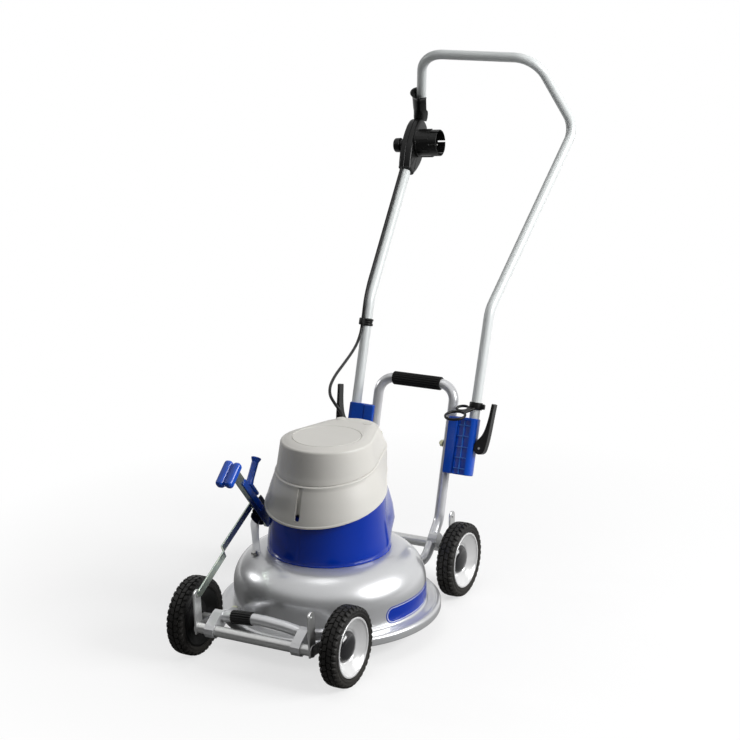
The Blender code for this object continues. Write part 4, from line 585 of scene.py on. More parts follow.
@dataclass(frozen=True)
class Finish:
    """A surface finish and the detail it shows."""

    name: str
    colour: Point
    roughness: float
    metallic: float = 0.0
    coat: float = 0.0
    coat_roughness: float = 0.06
    mottle: float = 0.05
    mottle_scale: float = 14.0
    grain: float = 0.00005
    grain_scale: float = 900.0
    pits: float = 0.4
    flakes: float = 0.0
    flake_scale: float = 1500.0
    tint: Point = (0.5, 0.5, 0.5)
    scuffs: float = 0.06
    dust: float = 0.0
    dust_top: float = 0.12
    specular: float = 0.5
    edging: Optional[Pair] = None

    def material(self) -> bpy.types.Material:
        """Return the node material of this finish, made once."""
        label = f"{self.name}_finish"
        made = bpy.data.materials.get(label)
        if made is not None:
            return made
        made = bpy.data.materials.new(label)
        made.use_nodes = True
        nodes = Nodes(made.node_tree)
        place = nodes.add("TexCoord").outputs["Object"]

        def use(group: Tree, **values: object) -> Socket:
            """Place a shared effect with its own values and return its output."""
            return nodes.add("Group", {"Vector": place, **values}, node_tree=group).outputs[0]

        colour = use(Effects.mottle(), Colour=(*self.colour, 1), Amount=self.mottle, Scale=self.mottle_scale)
        if self.flakes:
            colour = use(
                Effects.flakes(), Colour=colour, Tint=(*self.tint, 1), Amount=self.flakes, Scale=self.flake_scale)
        if self.edging:
            colour = self._lined(nodes, colour)
        marks = use(Effects.scuffs(), Amount=self.scuffs)
        if self.dust:
            film = use(Effects.dust(), Amount=self.dust, Top=self.dust_top)
            colour = nodes.blend(film, colour, (0.34, 0.3, 0.24, 1))
            marks = nodes.math("ADD", marks, film)
        height = use(Effects.grain(), Scale=self.grain_scale, Pits=self.pits)
        bump = nodes.add("Bump", {"Strength": 1.0, "Distance": self.grain, "Height": height})
        shader = made.node_tree.nodes["Principled BSDF"].inputs
        for label, value in {"Base Color": colour, "Roughness": nodes.math("ADD", marks, self.roughness),
                             "Normal": bump.outputs[0], "Metallic": self.metallic, "Coat Weight": self.coat,
                             "Coat Roughness": self.coat_roughness, "Specular IOR Level": self.specular}.items():
            nodes.give(shader[label], value)
        made.diffuse_color = (*self.colour, 1)
        return made

    def _lined(self, nodes: Nodes, colour: Socket) -> Socket:
        """Draw a thin pale line inside the rim of a stadium shape.

        With the piece's flat coordinates (s, z), half length L and half height H, the distance from
        the stadium's spine is |(max(|s| - (L - H), 0), z)|, and the line lies where it is near H - 2.8 mm.
        """
        length, height = self.edging
        flat = nodes.add("UVMap", uv_map="flat").outputs[0]
        parted = nodes.add("SeparateXYZ", {0: flat})
        over = nodes.math("SUBTRACT", nodes.math("ABSOLUTE", parted.outputs[0]), length - height)
        held = nodes.math("POWER", nodes.math("MAXIMUM", over, 0.0), 2.0)
        square = nodes.math("POWER", nodes.math("ABSOLUTE", parted.outputs[1]), 2.0)
        reach = nodes.math("SQRT", nodes.math("ADD", held, square))
        off = nodes.math("ABSOLUTE", nodes.math("SUBTRACT", reach, height - 0.0028))
        line = nodes.math("LESS_THAN", off, 0.0006)
        return nodes.blend(line, colour, (0.82, 0.84, 0.86, 1))


class Palette:
    """The mower's finishes."""

    SILVER = Finish("silver_paint", (0.6, 0.605, 0.615), 0.3, 0.58, 0.9, 0.05, 0.05, 9.0, 0.00002, 700.0,
                    flakes=0.35, flake_scale=2600.0, tint=(0.78, 0.79, 0.8), scuffs=0.05, dust=0.1, dust_top=0.09)
    ZINC = Finish("zinc_tube", (0.75, 0.78, 0.775), 0.42, 0.12, mottle=0.03, mottle_scale=22.0, grain=0.000006,
                  grain_scale=420.0, flakes=0.06, flake_scale=300.0, tint=(0.72, 0.76, 0.76), scuffs=0.03)
    FRAME = Finish("frame_paint", (0.7, 0.705, 0.72), 0.3, 0.45, 0.8, 0.06, 0.05, 12.0, 0.00002, 700.0,
                   flakes=0.3, flake_scale=2600.0, tint=(0.8, 0.81, 0.82), scuffs=0.06)
    ARM = Finish(
        "plated_arm", (0.66, 0.665, 0.66), 0.33, 0.82, mottle=0.12, mottle_scale=26.0, grain=0.00005,
        grain_scale=520.0, flakes=0.3, flake_scale=240.0, tint=(0.8, 0.8, 0.78), scuffs=0.12, dust=0.15, dust_top=0.1)
    GREENISH = Finish("greenish_zinc", (0.42, 0.5, 0.47), 0.26, 0.94, mottle=0.22, mottle_scale=34.0, grain=0.00004,
                      grain_scale=520.0, flakes=0.45, flake_scale=180.0, tint=(0.66, 0.66, 0.5), scuffs=0.12)
    YELLOW_ZINC = Finish(
        "yellow_zinc", (0.62, 0.58, 0.38),
        0.28, 0.9, mottle=0.25, mottle_scale=120.0, flakes=0.5, flake_scale=420.0, tint=(0.45, 0.62, 0.5))
    BLUE = Finish("blue_plastic", (0.0, 0.032, 0.38), 0.16, 0.0, 0.4, 0.04, 0.07, 18.0, 0.00002, 500.0,
                  scuffs=0.03, specular=0.25)
    BLUE_PART = Finish(
        "blue_fittings", (0.002, 0.075, 0.52), 0.26, 0.0, 0.2, 0.1, 0.08, 30.0, 0.00004, 900.0, scuffs=0.08)
    # Same moulding as the blue fittings, drawn a lighter blue: a painted highlight on the pocket ribs' edges.
    BLUE_RIB = Finish("blue_rib", (0.03, 0.17, 0.62), 0.3, 0.0, 0.2, 0.1, 0.08, 30.0, 0.00004, 900.0)
    GREY = Finish("grey_plastic", (0.665, 0.65, 0.61), 0.42, mottle=0.035, mottle_scale=16.0, grain=0.00008,
                  grain_scale=1100.0, pits=0.7, scuffs=0.05)
    BLACK = Finish("black_plastic", (0.006, 0.006, 0.006), 0.34, mottle=0.15, mottle_scale=30.0, grain=0.00007,
                   grain_scale=1000.0, pits=0.6, scuffs=0.09, specular=0.28)
    FOAM = Finish("black_foam", (0.008, 0.008, 0.008), 0.66, mottle=0.22, mottle_scale=60.0, grain=0.00025,
                  grain_scale=1500.0, pits=0.9, scuffs=0.04, specular=0.2)
    RUBBER = Finish("tyre_rubber", (0.012, 0.0115, 0.011), 0.52, mottle=0.25, mottle_scale=30.0, grain=0.00016,
                    grain_scale=800.0, pits=0.6, scuffs=0.08, dust=0.08, dust_top=0.16, specular=0.3)
    SHEATH = Finish("cable_sheath", (0.008, 0.008, 0.008), 0.36, mottle=0.12, mottle_scale=50.0, grain=0.00005,
                    grain_scale=1300.0, specular=0.3)
    DISH = Finish("wheel_dish", (0.8, 0.8, 0.8), 0.22, 0.35, 0.5, 0.05, 0.04, 30.0, 0.00002, 700.0,
                  flakes=0.2, flake_scale=2400.0, tint=(0.95, 0.95, 0.95), scuffs=0.05)
    HUB = Finish("hub_cap", (0.01, 0.01, 0.011), 0.18, 0.0, 0.5, 0.06, 0.1, 40.0, 0.00003, 800.0, scuffs=0.08)
    STEEL = Finish("plain_steel", (0.5, 0.5, 0.49), 0.34, 0.95, mottle=0.15, mottle_scale=40.0, grain=0.00005,
                   grain_scale=600.0, flakes=0.25, flake_scale=300.0, tint=(0.65, 0.64, 0.6), scuffs=0.15)
    COPPER = Finish(
        "copper_winding", (0.52, 0.22, 0.1), 0.4, 0.85, mottle=0.3, mottle_scale=90.0, grain=0.0002, grain_scale=260.0)
    BAND = Finish("band_blue", (0.001, 0.03, 0.36), 0.24, 0.0, 0.3, 0.05, 0.03, 20.0, 0.00001, 900.0, scuffs=0.04,
                  specular=0.3, edging=(0.0935, 0.0178))


def fit(thing: Thing, body: str, *nodes: str) -> Thing:
    """Let a piece ride on a body and stand for CAD nodes, and report it."""
    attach(thing, body)
    if nodes:
        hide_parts(*nodes)
    LOG.info("%s: %d faces on %s for %s", thing.name, len(thing.data.polygons), body, ", ".join(nodes) or "trim")
    return thing


def keep(node: str, finish: Finish) -> None:
    """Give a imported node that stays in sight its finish."""
    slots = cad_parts[node].material_slots
    for slot in slots:
        slot.material = finish.material()
    LOG.info("%s: packed solid in %s", node, finish.name)


@dataclass
class Deck:
    """The pressed deck with its plain side bands."""

    rim: float = 0.229
    wall: float = DECK_WALL_RADIUS
    wall_top: float = 0.1
    seat_radius: float = 0.129
    seat_top: float = 0.1715
    bore: float = 0.02
    sheet: float = 0.002
    segments: int = 200
    band_half_length: float = 0.0935
    band_half_height: float = 0.0178
    band_level: float = 0.0812

    def outline(self) -> Array:
        """Return the outer (r, z) profile from the motor seat over the round shoulder to the rolled lip.

        The shoulder is a quarter of an ellipse, (S + (W - S) sin a, B + (T - B) cos a), from the
        seat's radius S at the height T to the wall's radius W at the height B.
        """
        a = np.linspace(0, math.pi / 2, 28)
        shoulder = np.stack([self.seat_radius + (self.wall - self.seat_radius) * np.sin(a),
                             self.wall_top + (self.seat_top - self.wall_top) * np.cos(a)], axis=-1)
        flange = curve_through([
            (self.wall, 0.064), (self.wall + 0.0006, 0.0608), (self.wall + 0.003, 0.0588),
            (self.wall + 0.0075, 0.0581), (self.rim - 0.014, 0.0576), (self.rim - 0.011, 0.0586),
            (self.rim - 0.0078, 0.059), (self.rim - 0.0045, 0.0584), (self.rim - 0.002, 0.0566),
            (self.rim - 0.0004, 0.0536), (self.rim, 0.05), (self.rim, 0.043)], 4)
        return np.vstack([[(self.bore, self.seat_top)], shoulder, flange])

    def build(self) -> None:
        """Make the deck and its bands.

        The inner face lies one sheet thickness from the outer one along the normal
        (t_z, -t_r) of the profile's tangent t.
        """
        outer = self.outline()
        tangent = ways_along(outer)
        inner = outer + np.stack([tangent[:, 1], -tangent[:, 0]], axis=-1) * self.sheet
        lip = np.array([(self.rim - 0.0003, 0.0412), (self.rim - 0.001, 0.0402), (self.rim - 0.0018, 0.0406)])
        profile = np.vstack([outer, lip, inner[::-1]])
        deck = Mesher().lathe(profile, self.segments, ring=True).piece("deck_shell", Palette.SILVER, sharp=40)
        fit(deck, "chassis", "deck")
        for side in Side:
            self.band(side)

    def band(self, side: Side) -> None:
        """Make one plain side band on the deck's wall.

        With v in [-1, 1] the half length of a row is L - H + H sqrt(1 - v^2), and a point (s, z) goes
        to the wall at the angle s / r from the side.
        """
        v = np.sin(np.linspace(-math.pi / 2, math.pi / 2, 21))[:, None]
        u = np.linspace(-1, 1, 49)[None, :]
        half = self.band_half_length - self.band_half_height + self.band_half_height * np.sqrt(1 - v ** 2)
        s = u * half
        z = np.broadcast_to(v * self.band_half_height, s.shape)
        chart = np.stack([s, z], axis=-1)
        mesh = Mesher()
        rows = []
        for lift, shrink in ((0.00015, 1.0), (0.00055, 0.996)):
            reach = self.wall + lift
            angle = s * shrink / reach
            rows.append(spun(reach, angle, self.band_level + z * shrink) * [side.value, 1, 1])
        for grid in rows:
            mesh.grid(grid, chart=chart)
        for grid in ((rows[0][0], rows[1][0]), (rows[0][-1], rows[1][-1]), (rows[0][:, 0], rows[1][:, 0]),
                     (rows[0][:, -1], rows[1][:, -1])):
            mesh.grid(np.stack(grid), chart=np.ones((2, len(grid[0]), 2)) * 9.0)
        mesh.fitted(f"side_band_{side.word}", Palette.BAND, "chassis")


@dataclass
class Tubes:
    """The front loop, the carry frame and their grips."""

    foot_level: float = FLANGE_TOP + GAP + TUBE_RADIUS
    loop_foot: Pair = (0.117, -0.172)
    loop_corner: Point = (0.104, -0.272, 0.0995)
    loop_shoulder: float = 0.055
    loop_rise: float = 0.0115
    sleeve_from: float = 0.02
    sleeve_length: float = 0.046
    sleeve_radius: float = 0.0138
    frame_foot: Pair = (0.206, 0.262)
    frame_low: Pair = (0.325, 0.135)
    frame_top: Pair = (0.411, 0.4175)
    grip_length: float = 0.116
    grip_radius: float = 0.015

    def loop(self) -> Array:
        """Return the front loop's centre line."""
        _, y, z = self.loop_corner
        shoulder = z + 0.7 * self.loop_rise
        half = rounded_path([(*self.loop_foot, self.foot_level), self.loop_corner, (self.loop_shoulder, y, shoulder),
                             (0, y, z + self.loop_rise), (-self.loop_shoulder, y, shoulder)], [0.03, 0.15, 0.15])
        return mirrored(half[half[:, 0] > 1e-6])

    def frame(self) -> Array:
        """Return the carry frame's centre line."""
        half = rounded_path(
            [(FRAME_X, self.frame_foot[0], self.foot_level), (FRAME_X, self.frame_foot[1], self.foot_level),
             (FRAME_X, *self.frame_low), (FRAME_X, *self.frame_top), (0, *self.frame_top)], [0.045, 0.045, 0.036])
        return mirrored(half[:-1])

    @staticmethod
    def sleeve(path: Array, radius: float, ribs: int, depth: float) -> Mesher:
        """Return a ribbed sleeve whose ends draw in over 2 mm."""
        return Mesher().tube(path, drawn_in(path, ribbed_circle(radius, ribs, depth), 0.002), (0, -1, 0.3))

    def build(self) -> None:
        """Make both tubes, the sleeve, the grip and the bolts on the loop's feet."""
        loop, carry = self.loop(), self.frame()
        for name, node, path, hint in (("front_loop_tube", "front_loop", loop, (0, -1, 0.4)),
                                       ("carry_frame_tube", "carry_frame", carry, (0, -1, 0.31))):
            Mesher().tube(path, circle(TUBE_RADIUS, 40), hint).fitted(name, Palette.FRAME, "chassis", node)
        start = distances(loop)[-1] / 2 + self.sleeve_from
        sleeve = self.sleeve(stretch(loop, start, start + self.sleeve_length, 0.0008), self.sleeve_radius, 16, 0.0016)
        sleeve.fitted("front_loop_cover", Palette.BLACK, "chassis", "front_loop_sleeve", sharp=40)
        middle = distances(carry)[-1] / 2
        grip_path = stretch(carry, middle - self.grip_length / 2, middle + self.grip_length / 2, 0.0009)
        grip = self.sleeve(grip_path, self.grip_radius, 18, 0.0017)
        grip.fitted("carry_grip_foam", Palette.FOAM, "chassis", "carry_grip", sharp=40)
        for side in Side:
            bolt = Mesher()
            place = (side.value * 0.1162, -0.186, self.foot_level + 0.0095)
            bolt.lathe(rod(0.0085, 0, 0.0022, 0.0005), 32, origin=place)
            bolt.slab(hexagon(0.011), 0.002, 0.0068, np.eye(3), place, 0.0006)
            bolt.fitted(f"loop_bolt_{side.word}", Palette.YELLOW_ZINC, "chassis")


class Plan:
    """A cover's outline at any height: the shape round a large front circle and a small rear one."""

    COUNTS = (96, 14, 72, 14)

    def __init__(self, table: Sequence[tuple[float, float, float, float]]) -> None:
        """Keep the table of height, front radius, rear radius and rear centre."""
        self.table = np.asarray(table, float)

    def ring(self, level: float, tilt: float = 0.0, margin: float = 0.0, at_level: Optional[float] = None) -> Array:
        """Return the outline on the plane z = level + tilt y, moved inwards by the margin.

        Where at_level is given, the outline is then laid flat at that height.

        The circles' common tangents touch both at the angle a = asin((F - R) / C), with F and R the
        radii and C the distance between the centres.  Front points are F (cos w, sin w) for w from a
        down to -pi - a, rear ones (R cos w, C + R sin w), and the straight stretches join them.
        """
        front_n, line_n, rear_n, _ = self.COUNTS
        total = sum(self.COUNTS)
        height = np.full(total, level)
        point = np.zeros((total, 2))
        for _ in range(6):
            front, rear, centre = (np.interp(height, self.table[:, 0], self.table[:, k]) for k in (1, 2, 3))
            touch = np.arcsin(np.clip((front - rear) / np.maximum(centre, 1e-6), -1, 1))
            touch = np.where(centre < 1e-4, 0.3, touch)
            f, r = front - margin, rear - margin
            share = np.arange(total)
            on_front = np.clip(share / front_n, 0, 1)
            w = touch - on_front * (math.pi + 2 * touch)
            front_point = polar(f, w)
            on_rear = np.clip((share - front_n - line_n) / rear_n, 0, 1)
            w = math.pi - touch - on_rear * (math.pi - 2 * touch)
            rear_point = polar(r, w)
            rear_point[:, 1] += centre
            first = np.clip((share - front_n) / line_n, 0, 1)
            last = np.clip((share - front_n - line_n - rear_n) / line_n, 0, 1)
            begin = polar(f, touch)
            back = (first - last)[:, None]
            point = front_point * (1 - back) + rear_point * back
            point = np.where((last > 0)[:, None], rear_point * (1 - last[:, None]) + begin * last[:, None], point)
            height = level + tilt * point[:, 1]
        return np.column_stack([point, height if at_level is None else np.full(total, at_level)])


@dataclass
class Covers:
    """The blue base cover, the grey middle cover and the grey top cap."""

    base: Plan = field(default_factory=lambda: Plan((
        (0.171, 0.1276, 0.1276, 0.0), (0.178, 0.1272, 0.12, 0.013), (0.192, 0.1262, 0.108, 0.046),
        (0.209, 0.1238, 0.1005, 0.075), (0.242, 0.12, 0.097, 0.074), (0.3, 0.1175, 0.085, 0.065),
        (0.345, 0.108, 0.08, 0.065))))
    upper: Plan = field(default_factory=lambda: Plan((
        (0.25, 0.1345, 0.098, 0.06), (0.272, 0.129, 0.095, 0.06), (0.308, 0.1177, 0.0915, 0.062),
        (0.346, 0.1038, 0.087, 0.074), (0.366, 0.1005, 0.083, 0.08), (0.397, 0.0953, 0.069, 0.082),
        (0.41, 0.093, 0.066, 0.082))))
    wall: float = 0.003
    seat: float = 0.1718
    rim_level: float = 0.2868
    rim_tilt: float = 0.245
    seam_level: float = 0.3493
    seam_tilt: float = 0.137
    edge: float = 0.3965
    top: float = 0.4075
    groove: float = 0.07
    slot_y: float = -0.125
    slot_width: float = 0.0105
    slot_low: float = 0.267
    slot_high: float = 0.3345

    def shell(self, rings: Sequence[Array], name: str, finish: Finish) -> Thing:
        """Join rings into a closed wall and return the piece."""
        return Mesher().grid(np.stack(rings), close_u=True, close_v=True).piece(name, finish, sharp=40)

    def slot_tool(self) -> Thing:
        """Return the tool that cuts the upright slot with round corners through the middle cover."""
        half = (self.slot_high - self.slot_low) / 2
        turn = axes((0, -1, 0.3), (1, 0, 0))
        place = (0, self.slot_y, self.slot_low + half)
        return Mesher().block((self.slot_width, 2 * half, 0.03), 0.0035, turn, place, steps=4).piece("slot_tool")

    def groove_tool(self) -> Thing:
        """Return the tool of the base cover's groove, which runs out to a point.

        It is a cylinder in front of the wall.  A cylinder of radius R with its axis at the distance
        h from the wall cuts R - h deep and 2 sqrt(R^2 - h^2) wide.
        """
        radius = 0.0078
        top, low = 0.27, 0.186
        front = [float(np.interp(z, self.base.table[:, 0], self.base.table[:, 1])) for z in (top, low)]
        path = np.array([(0, -front[0] - radius + 0.0024, top), (0, -front[1] - radius, low - 0.002)])
        return Mesher().tube(path, circle(radius, 40), (1, 0, 0)).piece("groove_tool")

    def scoop(self) -> Thing:
        """Return the trough behind the slot.

        Its section is a U that is as deep as d = 0.6 mm + 9 mm t^1.6 at the share t from the top,
        and its floor stops short of the lower end, where the slot opens into the dark.
        """
        t = np.linspace(0, 1, 24)[:, None]
        z = (self.slot_high + 0.001 - (self.slot_high - self.slot_low - 0.0085) * t)[:, 0]
        surface = -np.interp(z, self.upper.table[:, 0], self.upper.table[:, 1]) + 0.0006
        depth = (0.0006 + 0.009 * t ** 1.6)[:, 0]
        w = self.slot_width / 2 + 0.0002
        xs = np.array([-w, -w, w, w, w + 0.0012, w + 0.0012, -w - 0.0012, -w - 0.0012])
        share = np.array([0, 1, 1, 0, 0, 1, 1, 0])
        extra = np.array([0, 0, 0, 0, 0, 0.0012, 0.0012, 0])
        y = surface[:, None] + depth[:, None] * share + extra
        grid = np.stack([np.broadcast_to(xs, y.shape), y, np.broadcast_to(z[:, None], y.shape)], axis=-1)
        return Mesher().grid(grid, close_v=True, caps=True).piece("middle_cover_scoop", Palette.GREY, sharp=40)

    def base_cover(self) -> Thing:
        """Return the base cover: rings of the base plan up to a plane under the middle cover's rim."""
        ring = self.base.ring
        tops = ((0.178, 0.0), (0.185, 0.0), (0.192, 0.0), (0.2, 0.0), (0.209, 0.0), (0.222, 0.01),
                (0.235, 0.02), (0.252, 0.07), (0.268, 0.12), (0.2988, self.rim_tilt))
        outer = [ring(self.seat + rise, 0, margin) for rise, margin in (
            (0, 0.0008), (0.0006, 0), (0.0026, 0), (0.0032, 0.0007), (0.0042, 0.0007))]
        outer += [ring(level, tilt) for level, tilt in tops]
        inner = [ring(level, tilt, self.wall) for level, tilt in reversed(tops)]
        inner.append(ring(self.seat, 0, self.wall))
        return self.shell(outer + inner, "base_cover_shell", Palette.BLUE)

    def middle_cover(self) -> Thing:
        """Return the middle cover: a rim bead, the flared wall and the edge under the seam."""
        ring = self.upper.ring
        outer = [ring(self.rim_level + rise, self.rim_tilt, margin) for rise, margin in (
            (0, 0.0004), (0.0006, -0.001), (0.0032, -0.0012), (0.0044, 0.0001))]
        for share in np.linspace(0.1, 0.92, 12):
            level = self.rim_level + (self.seam_level - self.rim_level) * share
            outer.append(ring(level, self.rim_tilt + (self.seam_tilt - self.rim_tilt) * share))
        outer += [ring(self.seam_level - drop, self.seam_tilt, margin) for drop, margin in (
            (0.003, -0.0013), (0.0016, -0.0012), (0.0002, 0.0006))]
        inner = [ring(level, tilt, self.wall) for level, tilt in (
            (self.seam_level - 0.0002, self.seam_tilt), (0.32, 0.19), (self.rim_level, self.rim_tilt))]
        return self.shell(outer + inner, "middle_cover_shell", Palette.GREY)

    def top_cap(self) -> Thing:
        """Return the cap: the wall, a round edge, the flat top and its circular groove.

        Between the plan's edge and the groove, each row is p + (q - p) t, with q on the circle of the
        groove at the polar angle of p.
        """
        outline = self.upper.ring
        rows = [outline(self.seam_level + rise, self.seam_tilt, margin) for rise, margin in (
            (0.0004, self.wall), (0.0004, 0.001), (0.001, 0.0003), (0.002, 0))]
        for share in np.linspace(0.15, 0.85, 6):
            level = self.seam_level + (self.edge - 0.003 - self.seam_level) * share
            rows.append(outline(level, self.seam_tilt * (1 - share) ** 1.3))
        w = np.linspace(0, math.pi / 2, 7)
        rows += [outline(self.edge + 0.002 + 0.0045 * math.sin(a), 0, 0.0045 * (1 - math.cos(a))) for a in w]
        for margin, level in ((0.009, self.edge + 0.0078), (0.016, self.edge + 0.0098), (0.024, self.top)):
            inner = outline(self.edge, 0, margin, level)
            rows.append(inner)
        ring = spun(1, np.arctan2(inner[:, 1], inner[:, 0]), 0.0)
        flat = np.array([0, 0, self.top])
        edge = ring * (self.groove + 0.0016) + flat
        rows += [inner + (edge - inner) * t for t in (0.35, 0.7, 1.0)]
        for off, dip in ((0.001, 0.0), (0.0006, 0.0009), (0.0, 0.0012), (-0.0006, 0.0009), (-0.001, 0.0), (-0.0016, 0)):
            rows.append(ring * (self.groove + off) + flat - [0, 0, dip])
        rows += [ring * (self.groove * share) + flat for share in (0.85, 0.6, 0.3, 0.0)]
        under = [outline(self.seam_level + 0.004, self.seam_tilt, self.wall),
                 outline(0.372, 0.06, self.wall), outline(self.edge, 0, self.wall + 0.002),
                 ring * 0.06 + flat - [0, 0, 0.004], ring * 0.0 + flat - [0, 0, 0.004]]
        mesh = Mesher().grid(np.stack(under[::-1] + rows), close_v=True)
        return mesh.piece("top_cap_shell", Palette.GREY, sharp=40)

    def build(self) -> None:
        """Make the covers, with the base's groove and the middle cover's slot, the gland and the cap's pads."""
        base = carved(self.base_cover(), self.groove_tool())
        middle = carved(self.middle_cover(), self.slot_tool())
        fit(self.scoop(), "chassis")
        fit(base, "chassis", "base_cover")
        fit(middle, "chassis", "middle_cover")
        fit(self.top_cap(), "chassis", "top_cap")
        turn = axes(GLAND_LEAN)
        gland = Mesher().lathe(eased(
            [(0, -0.008), (0.0058, -0.008), (0.0058, 0.0), (0.0092, 0.0), (0.0092, 0.0035),
             (0.0062, 0.0045), (0.0058, 0.012), (0.0045, 0.016), (0, 0.016)], 0.0008), 32, turn, GLAND)
        gland.slab(hexagon(0.0145), 0.0035, 0.0085, turn, GLAND, 0.0006)
        gland.fitted("cable_gland_nut", Palette.BLACK, "chassis", "cable_gland")
        for index, (x, y) in enumerate(((-0.032, 0.118), (0.034, 0.112))):
            pad = Mesher().lathe(eased(
                [(0, 0), (0.0105, 0), (0.0102, 0.0007), (0, 0.0007)], 0.0004), 48, origin=(x, y, self.top - 0.0001))
            pad.fitted(f"blank_pad_{index}", Palette.GREY, "chassis")


@dataclass
class Wheel:
    """One wheel: the block tread tyre, the silver dish and the black hub cap."""

    label: str
    side: Side
    centre_y: float
    pitches: int = 36
    half: float = TYRE_WIDTH / 2
    dish_depth: float = 0.0175
    rim_radius: float = 0.0605
    arrow: float = 0.42
    hub_radius: float = 0.0305
    # Each row: x, top radius, floor radius, kind of line
    TREAD = (
        (0.0, 0.08, 0.0766, "floor"), (0.0009, 0.08, 0.0766, "floor"), (0.0014, 0.08, 0.0766, "block"),
        (0.0045, 0.08, 0.0766, "block"), (0.0078, 0.0799, 0.0765, "block"), (0.009, 0.0798, 0.0764, "block"),
        (0.0095, 0.0797, 0.0763, "floor"), (0.0108, 0.0796, 0.0762, "floor"), (0.0113, 0.0795, 0.0761, "lug"),
        (0.0138, 0.079, 0.0755, "lug"), (0.016, 0.0779, 0.0744, "lug"), (0.0175, 0.076, 0.073, "lug"),
        (0.0184, 0.0735, 0.0714, "lug"), (0.0184, 0.0725, 0.0712, "lug"), (0.018, 0.0712, 0.0708, "floor"),
        (0.0176, 0.069, 0.069, "floor"), (0.0177, 0.0672, 0.0672, "floor"), (0.0183, 0.0664, 0.0664, "floor"),
        (0.0183, 0.0652, 0.0652, "floor"), (0.0178, 0.0645, 0.0645, "floor"), (0.0176, 0.0625, 0.0625, "floor"),
        (0.0168, 0.0609, 0.0609, "floor"), (0.015, 0.0605, 0.0605, "floor"))

    @property
    def turn(self) -> Array:
        """Return the frame whose z axis is the wheel's outward direction."""
        return outward(self.side.value)

    @property
    def centre(self) -> Point:
        """Return the wheel's centre."""
        return (self.side.value * WHEEL_X, self.centre_y, WHEEL_RADIUS)

    def tyre(self) -> Mesher:
        """Return the tyre's surface.

        Its radius is r = floor + m (top - floor).  Across the tread m is 1 on blocks and lugs, and
        round it m is 0 where the step u of a pitch is within 0.05 of the row's groove and 1 beyond
        0.09.  The angle is a = (k + u + 0.42 |x| / h) 2 pi / n, so that the rows form arrows.
        """
        table = np.array([row[:3] for row in self.TREAD])
        kinds = [row[3] for row in self.TREAD]
        order = list(range(len(table) - 1, 0, -1)) + list(range(len(table)))
        sign = np.array([-1.0] * (len(table) - 1) + [1.0] * len(table))
        x = table[order, 0] * sign
        top, floor = table[order, 1], table[order, 2]
        kind = np.array([kinds[k] for k in order])
        steps = np.array([0, 0.05, 0.09, 0.25, 0.41, 0.45, 0.5, 0.55, 0.59, 0.75, 0.91, 0.95])
        u = np.tile(steps, self.pitches)
        k = np.repeat(np.arange(self.pitches), len(steps))
        start = np.where(kind == "block", np.where(sign > 0, 0.0, 0.5), np.where(sign > 0, 0.5, 0.0))
        off = np.abs((u[:, None] - start[None, :] + 0.5) % 1.0 - 0.5)
        wide = np.where(kind == "lug", 0.045, 0.0)
        groove = np.clip((off - 0.05 - wide) / 0.04, 0, 1)
        mask = np.where(kind == "floor", 0.0, groove)
        radius = floor + mask * (top - floor)
        angle = ((k + u)[:, None] + self.arrow * np.abs(x)[None, :] / self.half) * TAU / self.pitches
        mesh = Mesher().grid(placed(spun(radius, angle, x), self.turn, self.centre), close_u=True)
        bore = [(self.rim_radius, self.half - 0.0035), (self.rim_radius, -self.half + 0.0035)]
        angles = (k + u) * TAU / self.pitches
        shear = self.arrow * 0.015 / self.half * TAU / self.pitches
        rows = [spun(r, angles + shear, z) for r, z in bore]
        return mesh.grid(placed(np.stack(rows, axis=1), self.turn, self.centre), close_u=True)

    def build(self) -> None:
        """Make the three pieces of the wheel."""
        body = f"{self.label}_wheel"
        self.tyre().fitted(f"{self.label}_tread", Palette.RUBBER, body, f"{self.label}_tyre", sharp=25)
        lip = self.half - 0.0007
        floor = self.half - 0.001 - self.dish_depth
        front = curve_through(
            [(0.0597, lip - 0.0022), (0.0596, lip - 0.0008), (0.0588, lip),
             (0.057, lip), (0.0556, lip - 0.0006), (0.0548, lip - 0.0022), (0.0515, lip - 0.005), (0.046, lip - 0.0088),
             (0.0405, lip - 0.0124), (0.0355, lip - 0.0152), (0.0335, floor + 0.0006), (0.0325, floor)], 3)
        front = np.vstack([[(0.0597, 0.0)], front, [(0.0065, floor)]])
        back = eased(
            [(0.0065, floor), (0.0065, -self.half + 0.0005), (0.0125, -self.half + 0.0005), (0.014, -0.006),
             (0.033, -0.006), (0.0565, -self.half + 0.0016), (0.0597, -self.half + 0.0016), (0.0597, 0.0)], 0.001)
        rim = Mesher().lathe(front, 96, self.turn, self.centre).lathe(back, 96, self.turn, self.centre, slot=1)
        fit(rim.piece(f"{self.label}_dish", Palette.DISH, Palette.BLACK), body, f"{self.label}_rim")
        h = floor + 0.0122
        dome = curve_through(
            [(self.hub_radius, floor + 0.0004), (self.hub_radius - 0.0002, floor + 0.0022),
             (self.hub_radius - 0.0022, floor + 0.0052), (self.hub_radius * 0.74, floor + 0.009),
             (self.hub_radius * 0.45, h - 0.001), (self.hub_radius * 0.2, h - 0.0002), (0.0001, h)], 4)
        cap = Mesher().lathe(
            np.vstack([[(0, floor + GAP), (self.hub_radius, floor + GAP)], dome, [(0, h)]]), 64, self.turn, self.centre)
        cap.fitted(f"{self.label}_hub_dome", Palette.HUB, body, f"{self.label}_hub_cap")


# Rows of a frame for plates that stand upright along the mower: y, z, then x
SIDEWAYS = np.array([[0.0, 1.0, 0.0], [0.0, 0.0, 1.0], [1.0, 0.0, 0.0]])


